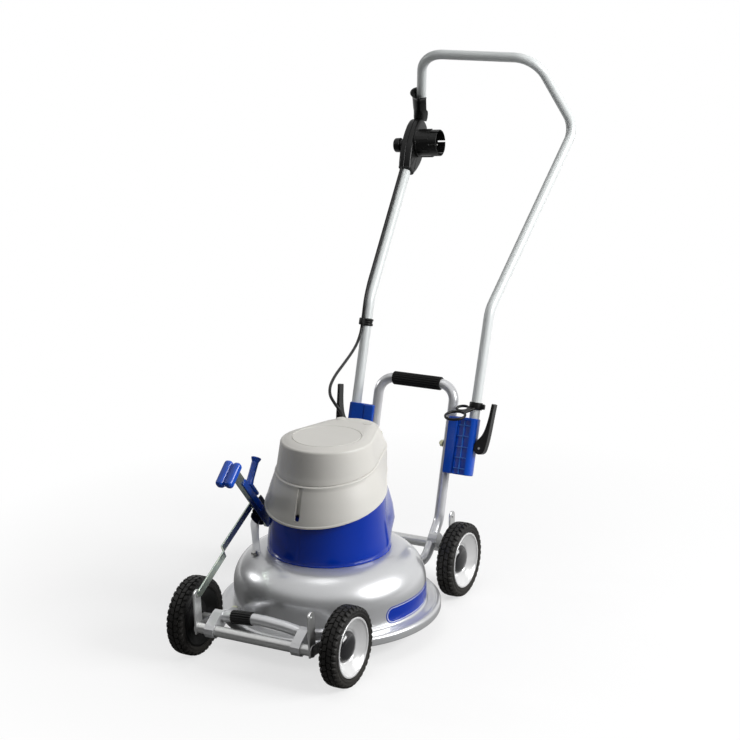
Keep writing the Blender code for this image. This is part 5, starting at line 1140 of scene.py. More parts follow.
@dataclass
class Axle:
    """An axle of one piece: the tube, an arm plate at each end, the stubs and the rear drop arm."""

    label: str
    line_y: float
    wheel_y: float
    level: float = 0.083
    tube_end: float = 0.127
    plate_low: float = 0.126
    plate_high: float = 0.13
    plate_half_width: float = 0.0118
    arm_top: float = 0.152
    arm_lean: float = 0.0034
    pin_hole: float = 0.003
    drop_arm: Optional[Pair] = None

    def build(self) -> None:
        """Make the axle: plates are straps from the arm's top over the tube to the wheel's centre."""
        away = math.copysign(1.0, self.line_y)
        mesh = Mesher()
        tube = np.array([(-self.tube_end, self.line_y, self.level), (0, self.line_y, self.level),
                         (self.tube_end, self.line_y, self.level)])
        mesh.tube(tube, circle(TUBE_RADIUS, 40), (0, 0, 1))
        top = (self.line_y + away * self.arm_lean, self.arm_top)
        points = [top, (self.line_y, self.level), (self.wheel_y, WHEEL_RADIUS)]
        outline = strap(points, self.plate_half_width)
        for side in Side:
            low, high = sorted((side.value * self.plate_low, side.value * self.plate_high))
            mesh.slab(outline, low, high, SIDEWAYS, (0, 0, 0), 0.0006)
            hub = outward(side.value)
            place = (0, self.wheel_y, WHEEL_RADIUS)
            mesh.lathe(eased([(0, 0.129), (0.01, 0.129), (0.01, 0.1517), (0.0062, 0.1517), (0.006, 0.1712),
                              (0, 0.1712)], 0.0008), 32, hub, place)
            mesh.lathe(rod(0.0125, 0.1298, 0.1312, 0.0005), 32, hub, (0, self.line_y, self.level))
        if self.drop_arm:
            end = (self.line_y + self.drop_arm[0], self.level + self.drop_arm[1])
            mesh.slab(strap([(self.line_y, self.level), end], 0.008), -0.1296, -0.1264, SIDEWAYS, (0, 0, 0), 0.0005)
        piece = mesh.piece(f"{self.label}_axle_frame", Palette.ARM)
        fit(piece, f"{self.label}_axle", f"{self.label}_axle")
        for side in Side:
            hole = Mesher().lathe(rod(self.pin_hole, -0.001, 0.006), 24, outward(side.value),
                                  (side.value * self.plate_low, top[0], top[1])).piece("pin_hole_tool")
            carved(piece, hole)


@dataclass
class Clamp:
    """One side's frame bracket, handle socket, bolt and cam lever."""

    side: Side
    length: float = 0.125
    depth: float = 0.034
    bracket_width: float = 0.0245
    bracket_x: float = 0.10425
    socket_width: float = 0.0409
    socket_x: float = 0.13755
    bolt_radius: float = 0.004
    nut_x: float = 0.0742
    lever_x: float = 0.1695
    lever_width: float = 0.02
    cam_radius: float = 0.013
    seat_radius: float = 0.0126
    # The lever's outline outwards and upwards from the cam's axis, and a smooth curve runs through it
    lever_outline: tuple[Pair, ...] = (
        (-0.013, 0.0), (-0.012, -0.005),
        (-0.0092, -0.0092), (-0.005, -0.012), (0.0, -0.013), (0.005, -0.012), (0.0092, -0.0092), (0.012, -0.005),
        (0.0136, 0.0006), (0.015, 0.008), (0.0168, 0.02), (0.0186, 0.038), (0.0204, 0.062), (0.022, 0.083),
        (0.0232, 0.0965), (0.0223, 0.0984), (0.0186, 0.0992), (0.0168, 0.098), (0.0154, 0.086), (0.0134, 0.069),
        (0.0104, 0.052), (0.0066, 0.038), (0.0014, 0.027), (-0.0054, 0.0188), (-0.0104, 0.012), (-0.0126, 0.0054))

    def frame_turn(self) -> Array:
        """Return the rows across, back and up of the frame bracket."""
        return np.array([ACROSS, np.cross(LEAN, ACROSS), LEAN])

    def socket_turn(self) -> Array:
        """Return the rows across, back and up of the handle socket."""
        way = unit((np.asarray(HANDLE_LOW) - PIVOT) * [0, 1, 1])
        return np.array([ACROSS, np.cross(way, ACROSS), way])

    def bracket(self) -> None:
        """Make the frame bracket: a block with a smooth front and easy edges round the frame's tube."""
        body = Mesher().block((self.bracket_width, self.depth, self.length), 0.004, self.frame_turn(),
                              PIVOT + ACROSS * self.side.value * self.bracket_x, steps=4)
        body.fitted(f"frame_clamp_{self.side.word}", Palette.BLUE_PART, "chassis", f"frame_bracket_{self.side.word}")

    def socket(self) -> None:
        """Make the handle socket: round outside the tube, with a ribbed pocket on one face.

        Both sockets are the same moulding, so the pocket faces forwards on the left side only.
        """
        turn = self.socket_turn()
        sign = self.side.value
        origin = PIVOT + ACROSS * sign * self.socket_x
        w, d = self.socket_width / 2, self.depth / 2
        points = [(-w + 0.0012, -d), (w - 0.0165, -d), (w - 0.013, -d + 0.0002), (w - 0.008, -d + 0.0012),
                  (w - 0.0035, -d + 0.0046), (w - 0.0008, -d * 0.45), (w - 0.0001, 0), (w - 0.0008, d * 0.45),
                  (w - 0.0035, d - 0.0046), (w - 0.008, d - 0.0012), (w - 0.013, d - 0.0002), (w - 0.0165, d),
                  (-w + 0.0012, d), (-w + 0.0002, d - 0.0012), (-w + 0.0002, -d + 0.0012)]
        outline = np.array(points) * [sign, 1]
        outline = outline if sign > 0 else outline[::-1]
        body = Mesher().slab(outline, -self.length / 2, self.length / 2, turn, origin, 0.0016)
        piece = body.piece(f"handle_clamp_{self.side.word}", Palette.BLUE_PART)
        face = -sign
        width, deep = 0.0275, 0.005
        spot = placed([sign * (-w + width / 2 + 0.0012), face * d, -0.002], turn, origin)
        tool = Mesher().block((width, 2 * deep, self.length - 0.007), 0.001, turn, spot).piece("pocket_tool")
        cam = Mesher().lathe(rod(self.seat_radius, 0, 0.02), 48, outward(sign),
                             PIVOT + ACROSS * sign * (self.lever_x - self.cam_radius - 0.0005)).piece("cam_tool")
        carved(piece, tool, cam)
        fit(piece, "handle", f"handle_socket_{self.side.word}")
        ribs = Mesher()
        for k in range(-2, 3):
            place = placed(
                [sign * (-w + width / 2 + 0.0012), face * (d - deep / 2 - 0.0002), k * 0.0235 - 0.002], turn, origin)
            ribs.block((width - 0.0004, deep - 0.0002, 0.0018), 0.0005, turn, place)
        centre = placed([sign * (-w + 0.0012 + width * 0.46), face * (d - deep / 2 - 0.0006), -0.002], turn, origin)
        ribs.block((0.0018, deep - 0.0008, self.length - 0.008), 0.0005, turn, centre)
        # The ribs are coloured a lighter blue than the socket: a painted highlight on their edges.
        ribs.fitted(f"handle_clamp_ribs_{self.side.word}", Palette.BLUE_RIB, "handle")

    def bolt(self) -> None:
        """Make the bolt with its nut, washer and pointed end."""
        sign = self.side.value
        turn = outward(sign)
        shank = Mesher().lathe(eased([
            (0, self.nut_x - 0.003), (self.bolt_radius - 0.001, self.nut_x - 0.003),
            (self.bolt_radius, self.nut_x - 0.0018), (self.bolt_radius, self.lever_x - 0.01), (0, self.lever_x - 0.01)],
            0.0004), 28, turn, PIVOT)
        shank.slab(hexagon(0.013), self.nut_x - 0.0004, self.nut_x + 0.0062, turn, PIVOT, 0.0007)
        shank.lathe(rod(0.0085, self.nut_x + 0.0062, self.nut_x + 0.0077, 0.0004), 36, turn, PIVOT)
        shank.fitted(f"clamp_screw_{self.side.word}", Palette.YELLOW_ZINC, "chassis", f"clamp_bolt_{self.side.word}")

    def lever(self) -> None:
        """Make the cam lever: a round cam, and a blade beside it that curves outwards to its tip."""
        sign = self.side.value
        turn = self.frame_turn()
        origin = PIVOT + ACROSS * sign * self.lever_x
        outline = curve_through(np.array(self.lever_outline) * [sign, 1], 4, closed=True)
        outline = outline if sign > 0 else outline[::-1]
        side_ways = np.array([turn[0], turn[2], np.cross(turn[0], turn[2])])
        mesh = Mesher().slab(outline, -self.lever_width / 2, self.lever_width / 2, side_ways, origin, 0.0016)
        mesh.fitted(f"cam_lever_{self.side.word}", Palette.BLACK, f"clamp_lever_{self.side.word}",
            f"clamp_lever_{self.side.word}")
        pin = Mesher().lathe(eased(
            [(0, -0.0104), (0.0024, -0.0104), (0.0028, -0.0098), (0.0028, 0.0098), (0.0024, 0.0104), (0, 0.0104)],
            0.0003), 24, side_ways, origin)
        pin.fitted(f"cam_pin_{self.side.word}", Palette.STEEL, f"clamp_lever_{self.side.word}")

    def build(self) -> None:
        """Make the four pieces."""
        self.bracket()
        self.socket()
        self.bolt()
        self.lever()


@dataclass
class Handlebar:
    """The bent tube, and the right leg that the box and cable follow."""

    up: Point = (0.195, 0.8277, 0.9318)
    top: Point = (0.14, 0.7266, 1.096)
    radii: Point = (0.07, 0.045, 0.068)
    tail: float = 0.06

    def path(self) -> Array:
        """Return the centre line from the left tail over the top to the right tail."""
        pivot = PIVOT + ACROSS * HANDLE_X
        start = pivot - unit(np.asarray(HANDLE_LOW) - pivot) * self.tail
        half = rounded_path([start, HANDLE_LOW, self.up, self.top, (0, self.top[1], self.top[2])], self.radii)
        return mirrored(half[:-1])

    def right_leg(self) -> Array:
        """Return the centre line from the right tail upwards."""
        return self.path()[::-1]

    def build(self) -> None:
        """Make the tube."""
        path = self.path()
        tube = Mesher().tube(path, circle(TUBE_RADIUS, 44), (0, -0.95, 0.3))
        tube.fitted("handlebar_tube", Palette.ZINC, "handle", "handlebar")


@dataclass
class SwitchBox:
    """The switch box on the right leg with its shroud, button and paddle."""

    leg: Array
    centre: Point = BOX_CENTRE
    along: Point = (-0.095118, 0.709821, 0.697931)
    forward: Point = (0.0, -0.70111, 0.713054)
    inward: Point = (0.995466, 0.067824, 0.066688)
    length: float = BOX_LENGTH
    depth: float = 0.07
    half_width: float = 0.01535
    button_at: Pair = (-0.003, 0.017)
    button_radius: float = 0.017
    button_rise: float = 0.006
    button_height: float = 0.016
    inlet_at: Pair = (0.01, 0.006)
    inlet_start: float = 0.0158
    inlet_radius: float = 0.0312
    inlet_length: float = 0.055
    inlet_wall: float = 0.0026
    first_slot: float = 0.26
    top_more: float = 0.009
    paddle_gap: float = 0.0778
    paddle_length: float = 0.08
    paddle_side: float = 0.0125
    paddle_wall: float = 0.0022
    paddle_open: float = 88.0

    def turn(self, sign: float = 1.0) -> Array:
        """Return rows whose z is the inward way, or the outward one, with x along the box."""
        return axes(np.asarray(self.inward) * sign, self.along)

    def spot(self, along: float, forward: float, inward: float = 0.0) -> Array:
        """Return a place given along, forward and inward from the centre."""
        return (np.asarray(self.centre) + np.asarray(self.along) * along + np.asarray(self.forward) * forward
                + np.asarray(self.inward) * inward)

    def outline(self) -> Array:
        """Return the box's outline in (along, back), seen from inside: round on top, tapered to the ends."""
        a, d = self.length / 2, self.depth / 2
        top = a + self.top_more
        front = [(-a, -0.0115), (-a + 0.004, -0.015), (-a + 0.024, -0.0255), (-0.018, -d + 0.0012), (0.004, -d),
                 (0.03, -d + 0.0005), (top - 0.022, -d + 0.006), (top - 0.0065, -0.02), (top, -0.01)]
        back = [(top, 0.01), (top - 0.006, 0.0205), (top - 0.022, d - 0.0055), (0.028, d - 0.0004), (0.002, d),
                (-0.02, d - 0.002), (-a + 0.022, 0.0245), (-a + 0.004, 0.016), (-a, 0.0125)]
        return curve_through(front + back, 5, closed=True)

    def half(self, sign: float, name: str, node: str) -> None:
        """Make one half: rings inset by R (1 - cos w) at the height h - R + R sin w, with a seam lip."""
        round_edge = 0.0062
        outline = self.outline()
        if sign < 0:
            outline = (outline * [1, -1])[::-1]
        w = np.linspace(0, math.pi / 2, 9)[:, None]
        low = 0.00015
        rings = [(inset(outline, 0.0012), low), (inset(outline, 0.0009), low + 0.0006), (outline, low + 0.0012)]
        rings += [(inset(outline, round_edge * (1 - math.cos(a))), self.half_width - round_edge * (1 - math.sin(a)))
                  for a in w[:, 0]]
        last = rings[-1][0]
        rings += [(last * share, self.half_width + rise)
                  for share, rise in ((0.9, 0.0003), (0.5, 0.0003), (0.0, 0.0003))]
        rings = [(rings[0][0] * 0.0, low)] + rings
        mesh = Mesher().grid(placed(raised(rings), self.turn(sign), self.centre), close_v=True)
        mesh.fitted(name, Palette.BLACK, "handle", node)

    def shroud(self) -> None:
        """Make the inlet: a ring with three slots in its outer part, the core and the prongs."""
        turn = self.turn()
        place = self.spot(*self.inlet_at, self.inlet_start)
        r, n, wall = self.inlet_radius, self.inlet_length, self.inlet_wall
        ring = Mesher().lathe(eased(
            [(0, 0), (r + 0.0012, 0), (r + 0.0012, 0.004), (r, 0.0052), (r - 0.0003, n - 0.001),
             (r - 0.0008, n), (r - wall + 0.0003, n), (r - wall, n - 0.001), (r - wall - 0.0004, 0.01),
             (0.019, 0.0082), (0.0168, 0.0082), (0.016, 0.027), (0.015, 0.028), (0, 0.028)], 0.0005), 96, turn, place)
        piece = ring.piece("inlet_shroud", Palette.BLACK)
        for index, angle in enumerate((self.first_slot, self.first_slot + TAU / 6, self.first_slot + TAU / 3)):
            x_way = math.cos(angle) * turn[0] + math.sin(angle) * turn[1]
            deep = place + np.asarray(self.inward) * (n - 0.009)
            cut = Mesher().block((0.08, 0.0034, 0.02), 0.0002, axes(self.inward, x_way), deep)
            core = Mesher().lathe(rod(0.0185, -0.03, 0.03), 48, turn, deep)
            tool, guard = cut.piece(f"slot_tool_{index}"), core.piece(f"guard_{index}")
            carved(piece, carved(tool, guard))
        fit(piece, "handle", "plug_inlet")
        pins = Mesher()
        for y in (-0.0075, 0.0075):
            pins.lathe(eased([(0, 0.027), (0.0022, 0.027), (0.0022, 0.043), (0.0012, 0.045), (0, 0.045)], 0.0005),
                       20, turn, placed([0, y, 0], turn, place))
        pins.fitted("inlet_prongs", Palette.STEEL, "handle")
        ribs = Mesher()
        for k in range(6):
            angle = self.first_slot + TAU / 12 + k * TAU / 6
            x_way = math.cos(angle) * turn[0] + math.sin(angle) * turn[1]
            ribs.block((0.003, 0.01, 0.03), 0.0004, axes(self.inward, x_way),
                       place + x_way * (r + 0.0002) + np.asarray(self.inward) * 0.02)
        ribs.fitted("inlet_ribs", Palette.BLACK, "handle")

    def button(self) -> None:
        """Make the safety button: a slightly tapered round cap with a dished top."""
        place = self.spot(*self.button_at, -self.half_width - self.button_rise)
        h, r = self.button_height, self.button_radius
        collar = Mesher().lathe(
            rod(r - 0.004, -0.001, 0.0118, 0.0006), 48, self.turn(-1), self.spot(*self.button_at, -self.half_width))
        collar.fitted("button_collar", Palette.BLACK, "handle")
        profile = eased([(0, 0.0004), (r, 0.0004), (r - 0.0004, h - 0.003), (r - 0.0022, h - 0.0008),
                         (r - 0.0052, h), (r * 0.55, h - 0.001), (0, h - 0.0016)], 0.0012, 4)
        cap = Mesher().lathe(profile, 64, self.turn(-1), place)
        cap.fitted("button_cap", Palette.BLACK, "safety_button", "safety_button")

    def paddle(self) -> None:
        """Make the paddle: a channel in front of the leg, open behind, that flares at its far end.

        Its section at the share t of the length is a U: the arc r (cos a, sin a) for a within 88 degrees
        of the front, carried straight back at both sides, with walls 2.2 mm thick.  The inner r is the
        tube's radius with its gap over cos 20 degrees, and grows by 2.6 mm t, and by up to 4.2 mm more
        as ((t - 0.86) / 0.14)^2 at the far end.
        """
        box_at = nearest(self.leg, self.centre)
        path = stretch(self.leg, box_at + self.paddle_gap, box_at + self.paddle_gap + self.paddle_length, 0.002)
        t = np.linspace(0, 1, len(path))
        open_angle = math.radians(self.paddle_open)
        a = np.linspace(-open_angle, open_angle, 33)
        base = (TUBE_RADIUS + GAP) / math.cos(math.radians(20)) + 0.0026 * t
        flare = 0.0042 * (np.clip(t - 0.86, 0, 1) / 0.14) ** 2
        start = 0.0016 * (1 - np.clip(t / 0.12, 0, 1)) ** 2
        inner = (base + flare * 0.9)[:, None]
        outer = (base + self.paddle_wall + flare - start)[:, None]
        front, back = polar(inner, a[::-1]), polar(outer, a)
        for side in (front, back):
            side[:, [0, -1], 0] -= self.paddle_side
        section = np.concatenate([back, front], axis=1)
        section[..., 0] += (0.002 + 0.004 * t)[:, None]
        mesh = Mesher().tube(path, section, self.forward)
        mesh.fitted("paddle_shell", Palette.BLACK, "start_paddle", "start_paddle")

    def build(self) -> None:
        """Make the box, the shroud, the button, the paddle and the box's screws."""
        self.half(1.0, "switch_box_inner", "switch_case_inner")
        self.half(-1.0, "switch_box_outer", "switch_case_outer")
        self.shroud()
        self.button()
        self.paddle()
        screws = Mesher()
        for along, forward in ((-0.052, 0.0), (0.045, -0.024), (0.045, 0.024), (-0.02, 0.028)):
            screws.lathe(eased([(0, 0), (0.0036, 0), (0.0034, 0.0009), (0.0018, 0.0011), (0, 0.0004)], 0.0003), 24,
                         self.turn(-1), self.spot(along, -forward, -self.half_width - 0.0001))
        screws.fitted("switch_box_screws", Palette.STEEL, "handle")


@dataclass
class Cable:
    """The motor's cable from the gland in a bow to the right leg and up to the switch box, and its clip."""

    leg: Array
    radius: float = 0.00325
    bow: tuple[Point, ...] = (
        (-0.061, 0.1645, 0.4085), (-0.074, 0.1655, 0.423), (-0.088, 0.173, 0.437), (-0.1, 0.196, 0.4495),
        (-0.112, 0.24, 0.46), (-0.124, 0.3, 0.4695), (-0.137, 0.362, 0.479), (-0.1478, 0.408, 0.49))
    leg_start: float = 0.224
    offset_way: Point = (-0.28, -0.95, 0.1)
    clip_after: float = 0.012
    clip_length: float = 0.016
    clip_radius: float = 0.0142

    def on_leg(self) -> Array:
        """Return the points beside the leg: c + d n, with n the offset way across the tangent."""
        first = nearest(self.leg, PIVOT - ACROSS * HANDLE_X) + self.leg_start
        last = nearest(self.leg, BOX_CENTRE) - BOX_LENGTH / 2 - GAP
        along = np.linspace(first, last, 13)
        tangent = unit(at(self.leg, along + 0.002) - at(self.leg, along - 0.002))
        way = np.asarray(self.offset_way)
        across = unit(way - (tangent @ way)[:, None] * tangent)
        return at(self.leg, along) + across * (TUBE_RADIUS + self.radius + 3 * GAP)

    def path(self) -> Array:
        """Return the centre line: the gland's exit, the bow and the run up the leg."""
        lean = unit(np.asarray(GLAND_LEAN))
        exit_points = [np.asarray(GLAND) + lean * (0.0163 + self.radius * k) for k in range(3)]
        return curve_through(np.vstack([exit_points, self.bow, self.on_leg()]), 8)

    def build(self) -> None:
        """Make the cable and the clip that holds it to the leg."""
        path = self.path()
        cable = Mesher().tube(path, circle(self.radius, 20), (1, 0, 0.2)).piece("motor_cable_sheath", Palette.SHEATH)
        tuple(self.on_leg()[1] + SHIFT)
        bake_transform(cable)
        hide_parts("motor_cable")
        LOG.info("%s: %d faces from chassis to handle", cable.name, len(cable.data.polygons))
        first = nearest(self.leg, PIVOT - ACROSS * HANDLE_X) + self.leg_start + self.clip_after
        clip = Mesher()
        for start, length, radius in ((0.0, 0.0055, self.clip_radius), (0.0055, 0.005, self.clip_radius - 0.0013),
                                      (0.0105, 0.0055, self.clip_radius)):
            part = stretch(self.leg, first + start, first + start + length, 0.0008)
            clip.tube(part, drawn_in(part, circle(radius, 48), 0.0016), (0, -1, 0.3))
        tangent = unit(at(self.leg, first + 0.01) - at(self.leg, first))
        way = np.asarray(self.offset_way)
        way = unit(way - way.dot(tangent) * tangent)
        middle = at(self.leg, first + self.clip_length / 2) + way * (TUBE_RADIUS + self.radius)
        clip.block((0.0135, 0.012, self.clip_length), 0.0025, axes(tangent, way), middle)
        clip.fitted("cable_clip_rings", Palette.BLACK, "handle", "cable_clip")


@dataclass
class CordHook:
    """The black double hook that slides on the left leg."""

    place: Point = (0.145247, 0.402261, 0.379796)
    along: Point = (0.008315, 0.318942, 0.947738)
    sleeve_radius: float = 0.0145
    sleeve_length: float = 0.016
    tilt: float = math.radians(7.5)
    rod: float = 0.0027
    # Each loop: its centre inwards and forwards from the leg, and its radius
    loops: tuple[Point, ...] = ((0.0215, 0.06, 0.0215), (0.0225, 0.02, 0.013))

    def loop(self, mesh: Mesher, turn: Array, loop: Point) -> None:
        """Add one loop: a torus whose ring is a little longer forwards than it is wide.

        p(a, b) = c + ((R + r cos b) cos a, (R + r cos b) sin a, 1.15 r sin b).
        """
        a = (np.arange(64) * TAU / 64)[:, None]
        b = (np.arange(20) * TAU / 20)[None, :]
        reach = loop[2] + self.rod * np.cos(b)
        grid = spun(reach, a, 1.15 * self.rod * np.sin(b))
        centre = placed(np.array([loop[0], loop[1], 0.0]), turn, self.place)
        mesh.grid(placed(grid, turn, centre), close_u=True, close_v=True)

    def build(self) -> None:
        """Make the sleeve, the arm from it to the front loop, and the two loops."""
        h = self.sleeve_length / 2
        bore = TUBE_RADIUS + GAP
        mesh = Mesher().lathe(
            eased([(bore, -h), (self.sleeve_radius, -h), (self.sleeve_radius, h), (bore, h), (bore, -h)], 0.0012),
            56, axes(self.along, (-1, 0, 0)), self.place)
        inward = np.array([-1.0, 0.0, 0.0])
        forward = np.array([0.0, -math.cos(self.tilt), -math.sin(self.tilt)])
        turn = np.array([inward, forward, np.cross(inward, forward)])
        near = np.array([0.0, self.sleeve_radius - 0.002])
        far = np.array(self.loops[0][:2])
        way = unit(far - near)
        far = far - way * (self.loops[0][2] - 0.001)
        middle = (near + far) / 2
        x_way = inward * way[0] + forward * way[1]
        arm = np.array([x_way, np.cross(turn[2], x_way), turn[2]])
        mesh.block((float(np.linalg.norm(far - near)) + 0.004, 0.011, 0.006), 0.0022, arm,
                   placed([*middle, 0.0], turn, self.place))
        lug = placed([-self.sleeve_radius - 0.002, 0.0, 0.0], axes(self.along, (-1, 0, 0)), self.place)
        mesh.block((0.009, 0.01, 0.012), 0.0025, axes(self.along, (-1, 0, 0)), lug)
        for loop in self.loops:
            self.loop(mesh, turn, loop)
        mesh.fitted("cord_hook_loops", Palette.BLACK, "cord_hook", "cord_hook")


@dataclass
class HeightAdjust:
    """The height lever with its knob and latch, the two links, the notched quadrant and its bracket."""

    lever_x: float = -0.1332
    pivot: Pair = (-0.02, 0.21)
    way: Pair = (-0.65077, 0.75927)
    length: float = 0.192
    half_width: float = 0.0118
    thickness: float = 0.004
    ear: Pair = (0.0399, 0.048)
    knob_along: float = 0.203
    knob_aside: float = -0.0135
    latch_x: float = -0.1297
    peg_along: float = 0.123
    peg_tilt: float = math.radians(16)
    link_half_width: float = 0.0085
    link_thickness: float = 0.003
    outer_x: float = -0.1372
    quadrant_radius: float = 0.066
    quadrant_hub: float = 0.0115
    quadrant_half: float = 0.42
    # The bracket's strap from its foot on the deck, outwards and up to the quadrant
    bracket_path: tuple[Point, ...] = (
        (-0.1171, -0.101, 0.1675), (-0.119, -0.093, 0.1688), (-0.1215, -0.088, 0.174), (-0.127, -0.08, 0.186),
        (-0.1336, -0.071, 0.198), (-0.139, -0.063, 0.208), (-0.1434, -0.056, 0.216), (-0.1446, -0.05, 0.222))

    def lever_place(self, along: float, aside: float = 0.0) -> Array:
        """Return (y, z) of a place on the lever, given along and beside it."""
        way = np.asarray(self.way)
        return np.asarray(self.pivot) + way * along + np.array([way[1], -way[0]]) * aside

    def lever_turn(self) -> Array:
        """Return rows that run along the lever, beside it and across."""
        x = np.array([0.0, *self.way])
        y = np.array([0.0, self.way[1], -self.way[0]])
        return np.array([x, y, np.cross(x, y)])

    def lever(self) -> None:
        """Make the lever plate with its ear and bolt, and the two-lobed knob."""
        t = self.thickness / 2
        plate = Mesher()
        plate.slab(strap([self.lever_place(0), self.lever_place(self.length)], self.half_width), self.lever_x - t,
                   self.lever_x + t, SIDEWAYS, (0, 0, 0), 0.0005)
        pin = np.asarray(self.pivot) + np.asarray(self.ear)
        plate.slab(strap([self.pivot, pin], 0.0085), self.lever_x - t + 0.0002, self.lever_x + t - 0.0002, SIDEWAYS,
                   (0, 0, 0), 0.0005)
        turn = outward(-1)
        plate.slab(hexagon(0.013), -0.0017, 0.006, turn, (self.lever_x - t + 0.001, *self.pivot), 0.0007)
        plate.fitted("height_lever_plate", Palette.GREENISH, "height_lever", "height_lever")
        knob = Mesher()
        lever = self.lever_turn()
        # two lobes side by side, long across the lever, on a thinner core that leaves a groove between them
        for off, size in ((-0.0102, (0.0195, 0.059, 0.0186)), (0.0098, (0.0185, 0.056, 0.0172))):
            y, z = self.lever_place(self.knob_along, self.knob_aside)
            knob.block(size, 0.0074, lever, (self.lever_x + off, y, z), steps=6)
        y, z = self.lever_place(self.knob_along - 0.003, self.knob_aside)
        knob.block((0.016, 0.047, 0.03), 0.004, lever, (self.lever_x, y, z))
        knob.fitted("knob_lobes", Palette.BLUE_PART, "height_lever", "lever_knob")

    def latch(self) -> None:
        """Make the blue latch: the strip on the lever, the rib behind it and the peg with its flared end."""
        lever = self.lever_turn()
        mesh = Mesher().block((0.104, 0.0135, 0.0026), 0.001, lever, (self.latch_x, *self.lever_place(0.098, 0.0042)))
        mesh.block((0.048, 0.009, 0.012), 0.0042, lever, (self.latch_x - 0.003, *self.lever_place(0.106, 0.016)),
                   steps=4)
        way = lever[1] * math.cos(self.peg_tilt) + lever[0] * math.sin(self.peg_tilt)
        mesh.lathe(eased([(0, 0.0), (0.0082, 0.0), (0.008, 0.009), (0.0073, 0.012), (0.0073, 0.05),
                          (0.0104, 0.0562), (0.0106, 0.058), (0.0097, 0.059), (0, 0.0582)], 0.0012, 4), 40,
                   axes(way, (1, 0, 0)), (self.latch_x - 0.003, *self.lever_place(self.peg_along, 0.012)))
        mesh.fitted("latch_peg", Palette.BLUE_PART, "latch_grip", "latch_grip")

    def quadrant(self) -> None:
        """Make the black quadrant: a notched sector about the pivot that narrows to a hub ring."""
        rest = math.atan2(self.way[1], self.way[0])
        half, ring = self.quadrant_half, self.quadrant_hub
        a = np.linspace(-half, half, 113)
        notch = np.clip(1.6 - np.abs((a / math.radians(7.5) + 0.5) % 1 - 0.5) * 8, 0, 1) * 0.003
        reach = self.quadrant_radius - notch * (np.abs(a) < 0.32)
        b = np.linspace(half, TAU - half, 60)
        t = np.abs(b - math.pi) / (math.pi - half)
        back = ring + (self.quadrant_radius - ring) * np.clip((t - 0.7) / 0.3, 0, 1) ** 1.7
        angle, reach = np.append(a, b[1:-1]) + rest, np.append(reach, back[1:-1])
        outline = np.asarray(self.pivot) + polar(reach, angle)
        mesh = Mesher().slab(outline, self.outer_x - 0.0013, self.outer_x + 0.0013, SIDEWAYS, (0, 0, 0), 0.0004)
        piece = mesh.piece("quadrant_plate", Palette.BLACK)
        hub = Mesher().lathe(rod(0.0082, -0.01, 0.01), 40, outward(1), (self.outer_x, *self.pivot)).piece("hub_tool")
        fit(carved(piece, hub), "chassis", "lever_quadrant")

    def bracket(self) -> None:
        """Make the bracket: a strap from its foot plate up to the quadrant, with the foot's bolt."""
        path = curve_through(self.bracket_path, 6)
        run = distances(path) / distances(path)[-1]
        half = 0.0088 - 0.0016 * np.sin(math.pi * np.clip(run * 1.2, 0, 1))
        mesh = Mesher().tube(path, strip_section(half, 0.0024), (0.35, -1, 0.75))
        mesh.fitted("bracket_strap", Palette.SILVER, "chassis", "lever_bracket")
        rise = unit(np.array([-0.228, -0.175, 1.0]))
        spot = np.asarray(self.bracket_path[0]) + rise * 0.0009
        bolt = Mesher().lathe(rod(0.0078, 0, 0.0012, 0.0004), 32, axes(rise, (1, 0, 0)), spot)
        bolt.slab(hexagon(0.011), 0.001, 0.0062, axes(rise, (1, 0, 0)), spot, 0.0008)
        bolt.fitted("bracket_bolt", Palette.STEEL, "chassis")

    def link(self, label: str, points: Points) -> None:
        """Make one link: a flat strip on a bent path of (x, y, z) points with round, riveted ends.

        The strip's section is a rectangle w x t carried along the path, w across it in the upright
        plane and t along x.
        """
        path = np.asarray(points, float)
        fine = stretch(path, 0, distances(path)[-1], 0.0025)
        w, t = self.link_half_width, self.link_thickness / 2
        run = distances(fine)
        near = np.clip(np.minimum(run, run[-1] - run) / w, 0, 1)
        half = w * np.sqrt(np.clip(1 - (1 - near) ** 2, 0.12, 1))
        mesh = Mesher().tube(fine, strip_section(half, self.link_thickness), (1, 0, 0))
        mesh.fitted(f"{label}_strip", Palette.GREENISH, label, label)
        bolt = Mesher()
        for end in (path[0], path[-1]):
            bolt.lathe(eased([(0, t), (0.0052, t), (0.005, t + 0.0022), (0.003, t + 0.003), (0, t + 0.003)], 0.0005),
                       24, outward(-1), end)
        bolt.fitted(f"{label}_rivets", Palette.STEEL, label)

    def build(self) -> None:
        """Make the whole mechanism."""
        self.lever()
        self.latch()
        self.quadrant()
        self.bracket()
        y, z = self.lever_place(0.0755)
        start, end = np.array([self.outer_x, y, z]), np.array([-0.124, -0.3035, 0.152])
        bends = [start + (end - start) * share for share in (0.52, 0.56)]
        bends[0][0], bends[1][0] = self.outer_x, -0.1262
        self.link("front_link", [start, *bends, end])
        pin = np.asarray(self.pivot) + np.asarray(self.ear)
        self.link("rear_link", [(-0.1372, *pin), (-0.1372, 0.16, 0.215), (-0.124, 0.2791, 0.043)])


@dataclass
class Motor:
    """The motor under the covers and the rotor with its blade, as packed, in their finishes."""

    finishes: dict[str, Finish] = field(default_factory=lambda: {
        "motor_flange": Palette.BLACK, "motor_bell": Palette.STEEL, "stator": Palette.COPPER,
        "lower_bearing": Palette.STEEL, "upper_bearing": Palette.STEEL, "rotor_shaft": Palette.STEEL,
        "blade": Palette.STEEL, "blade_nut": Palette.YELLOW_ZINC, "cooling_fan": Palette.BLACK,
        "front_bearing_left": Palette.SILVER, "front_bearing_right": Palette.SILVER,
        "rear_bearing_left": Palette.SILVER, "rear_bearing_right": Palette.SILVER})

    def build(self) -> None:
        """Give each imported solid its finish."""
        for node, finish in self.finishes.items():
            keep(node, finish)


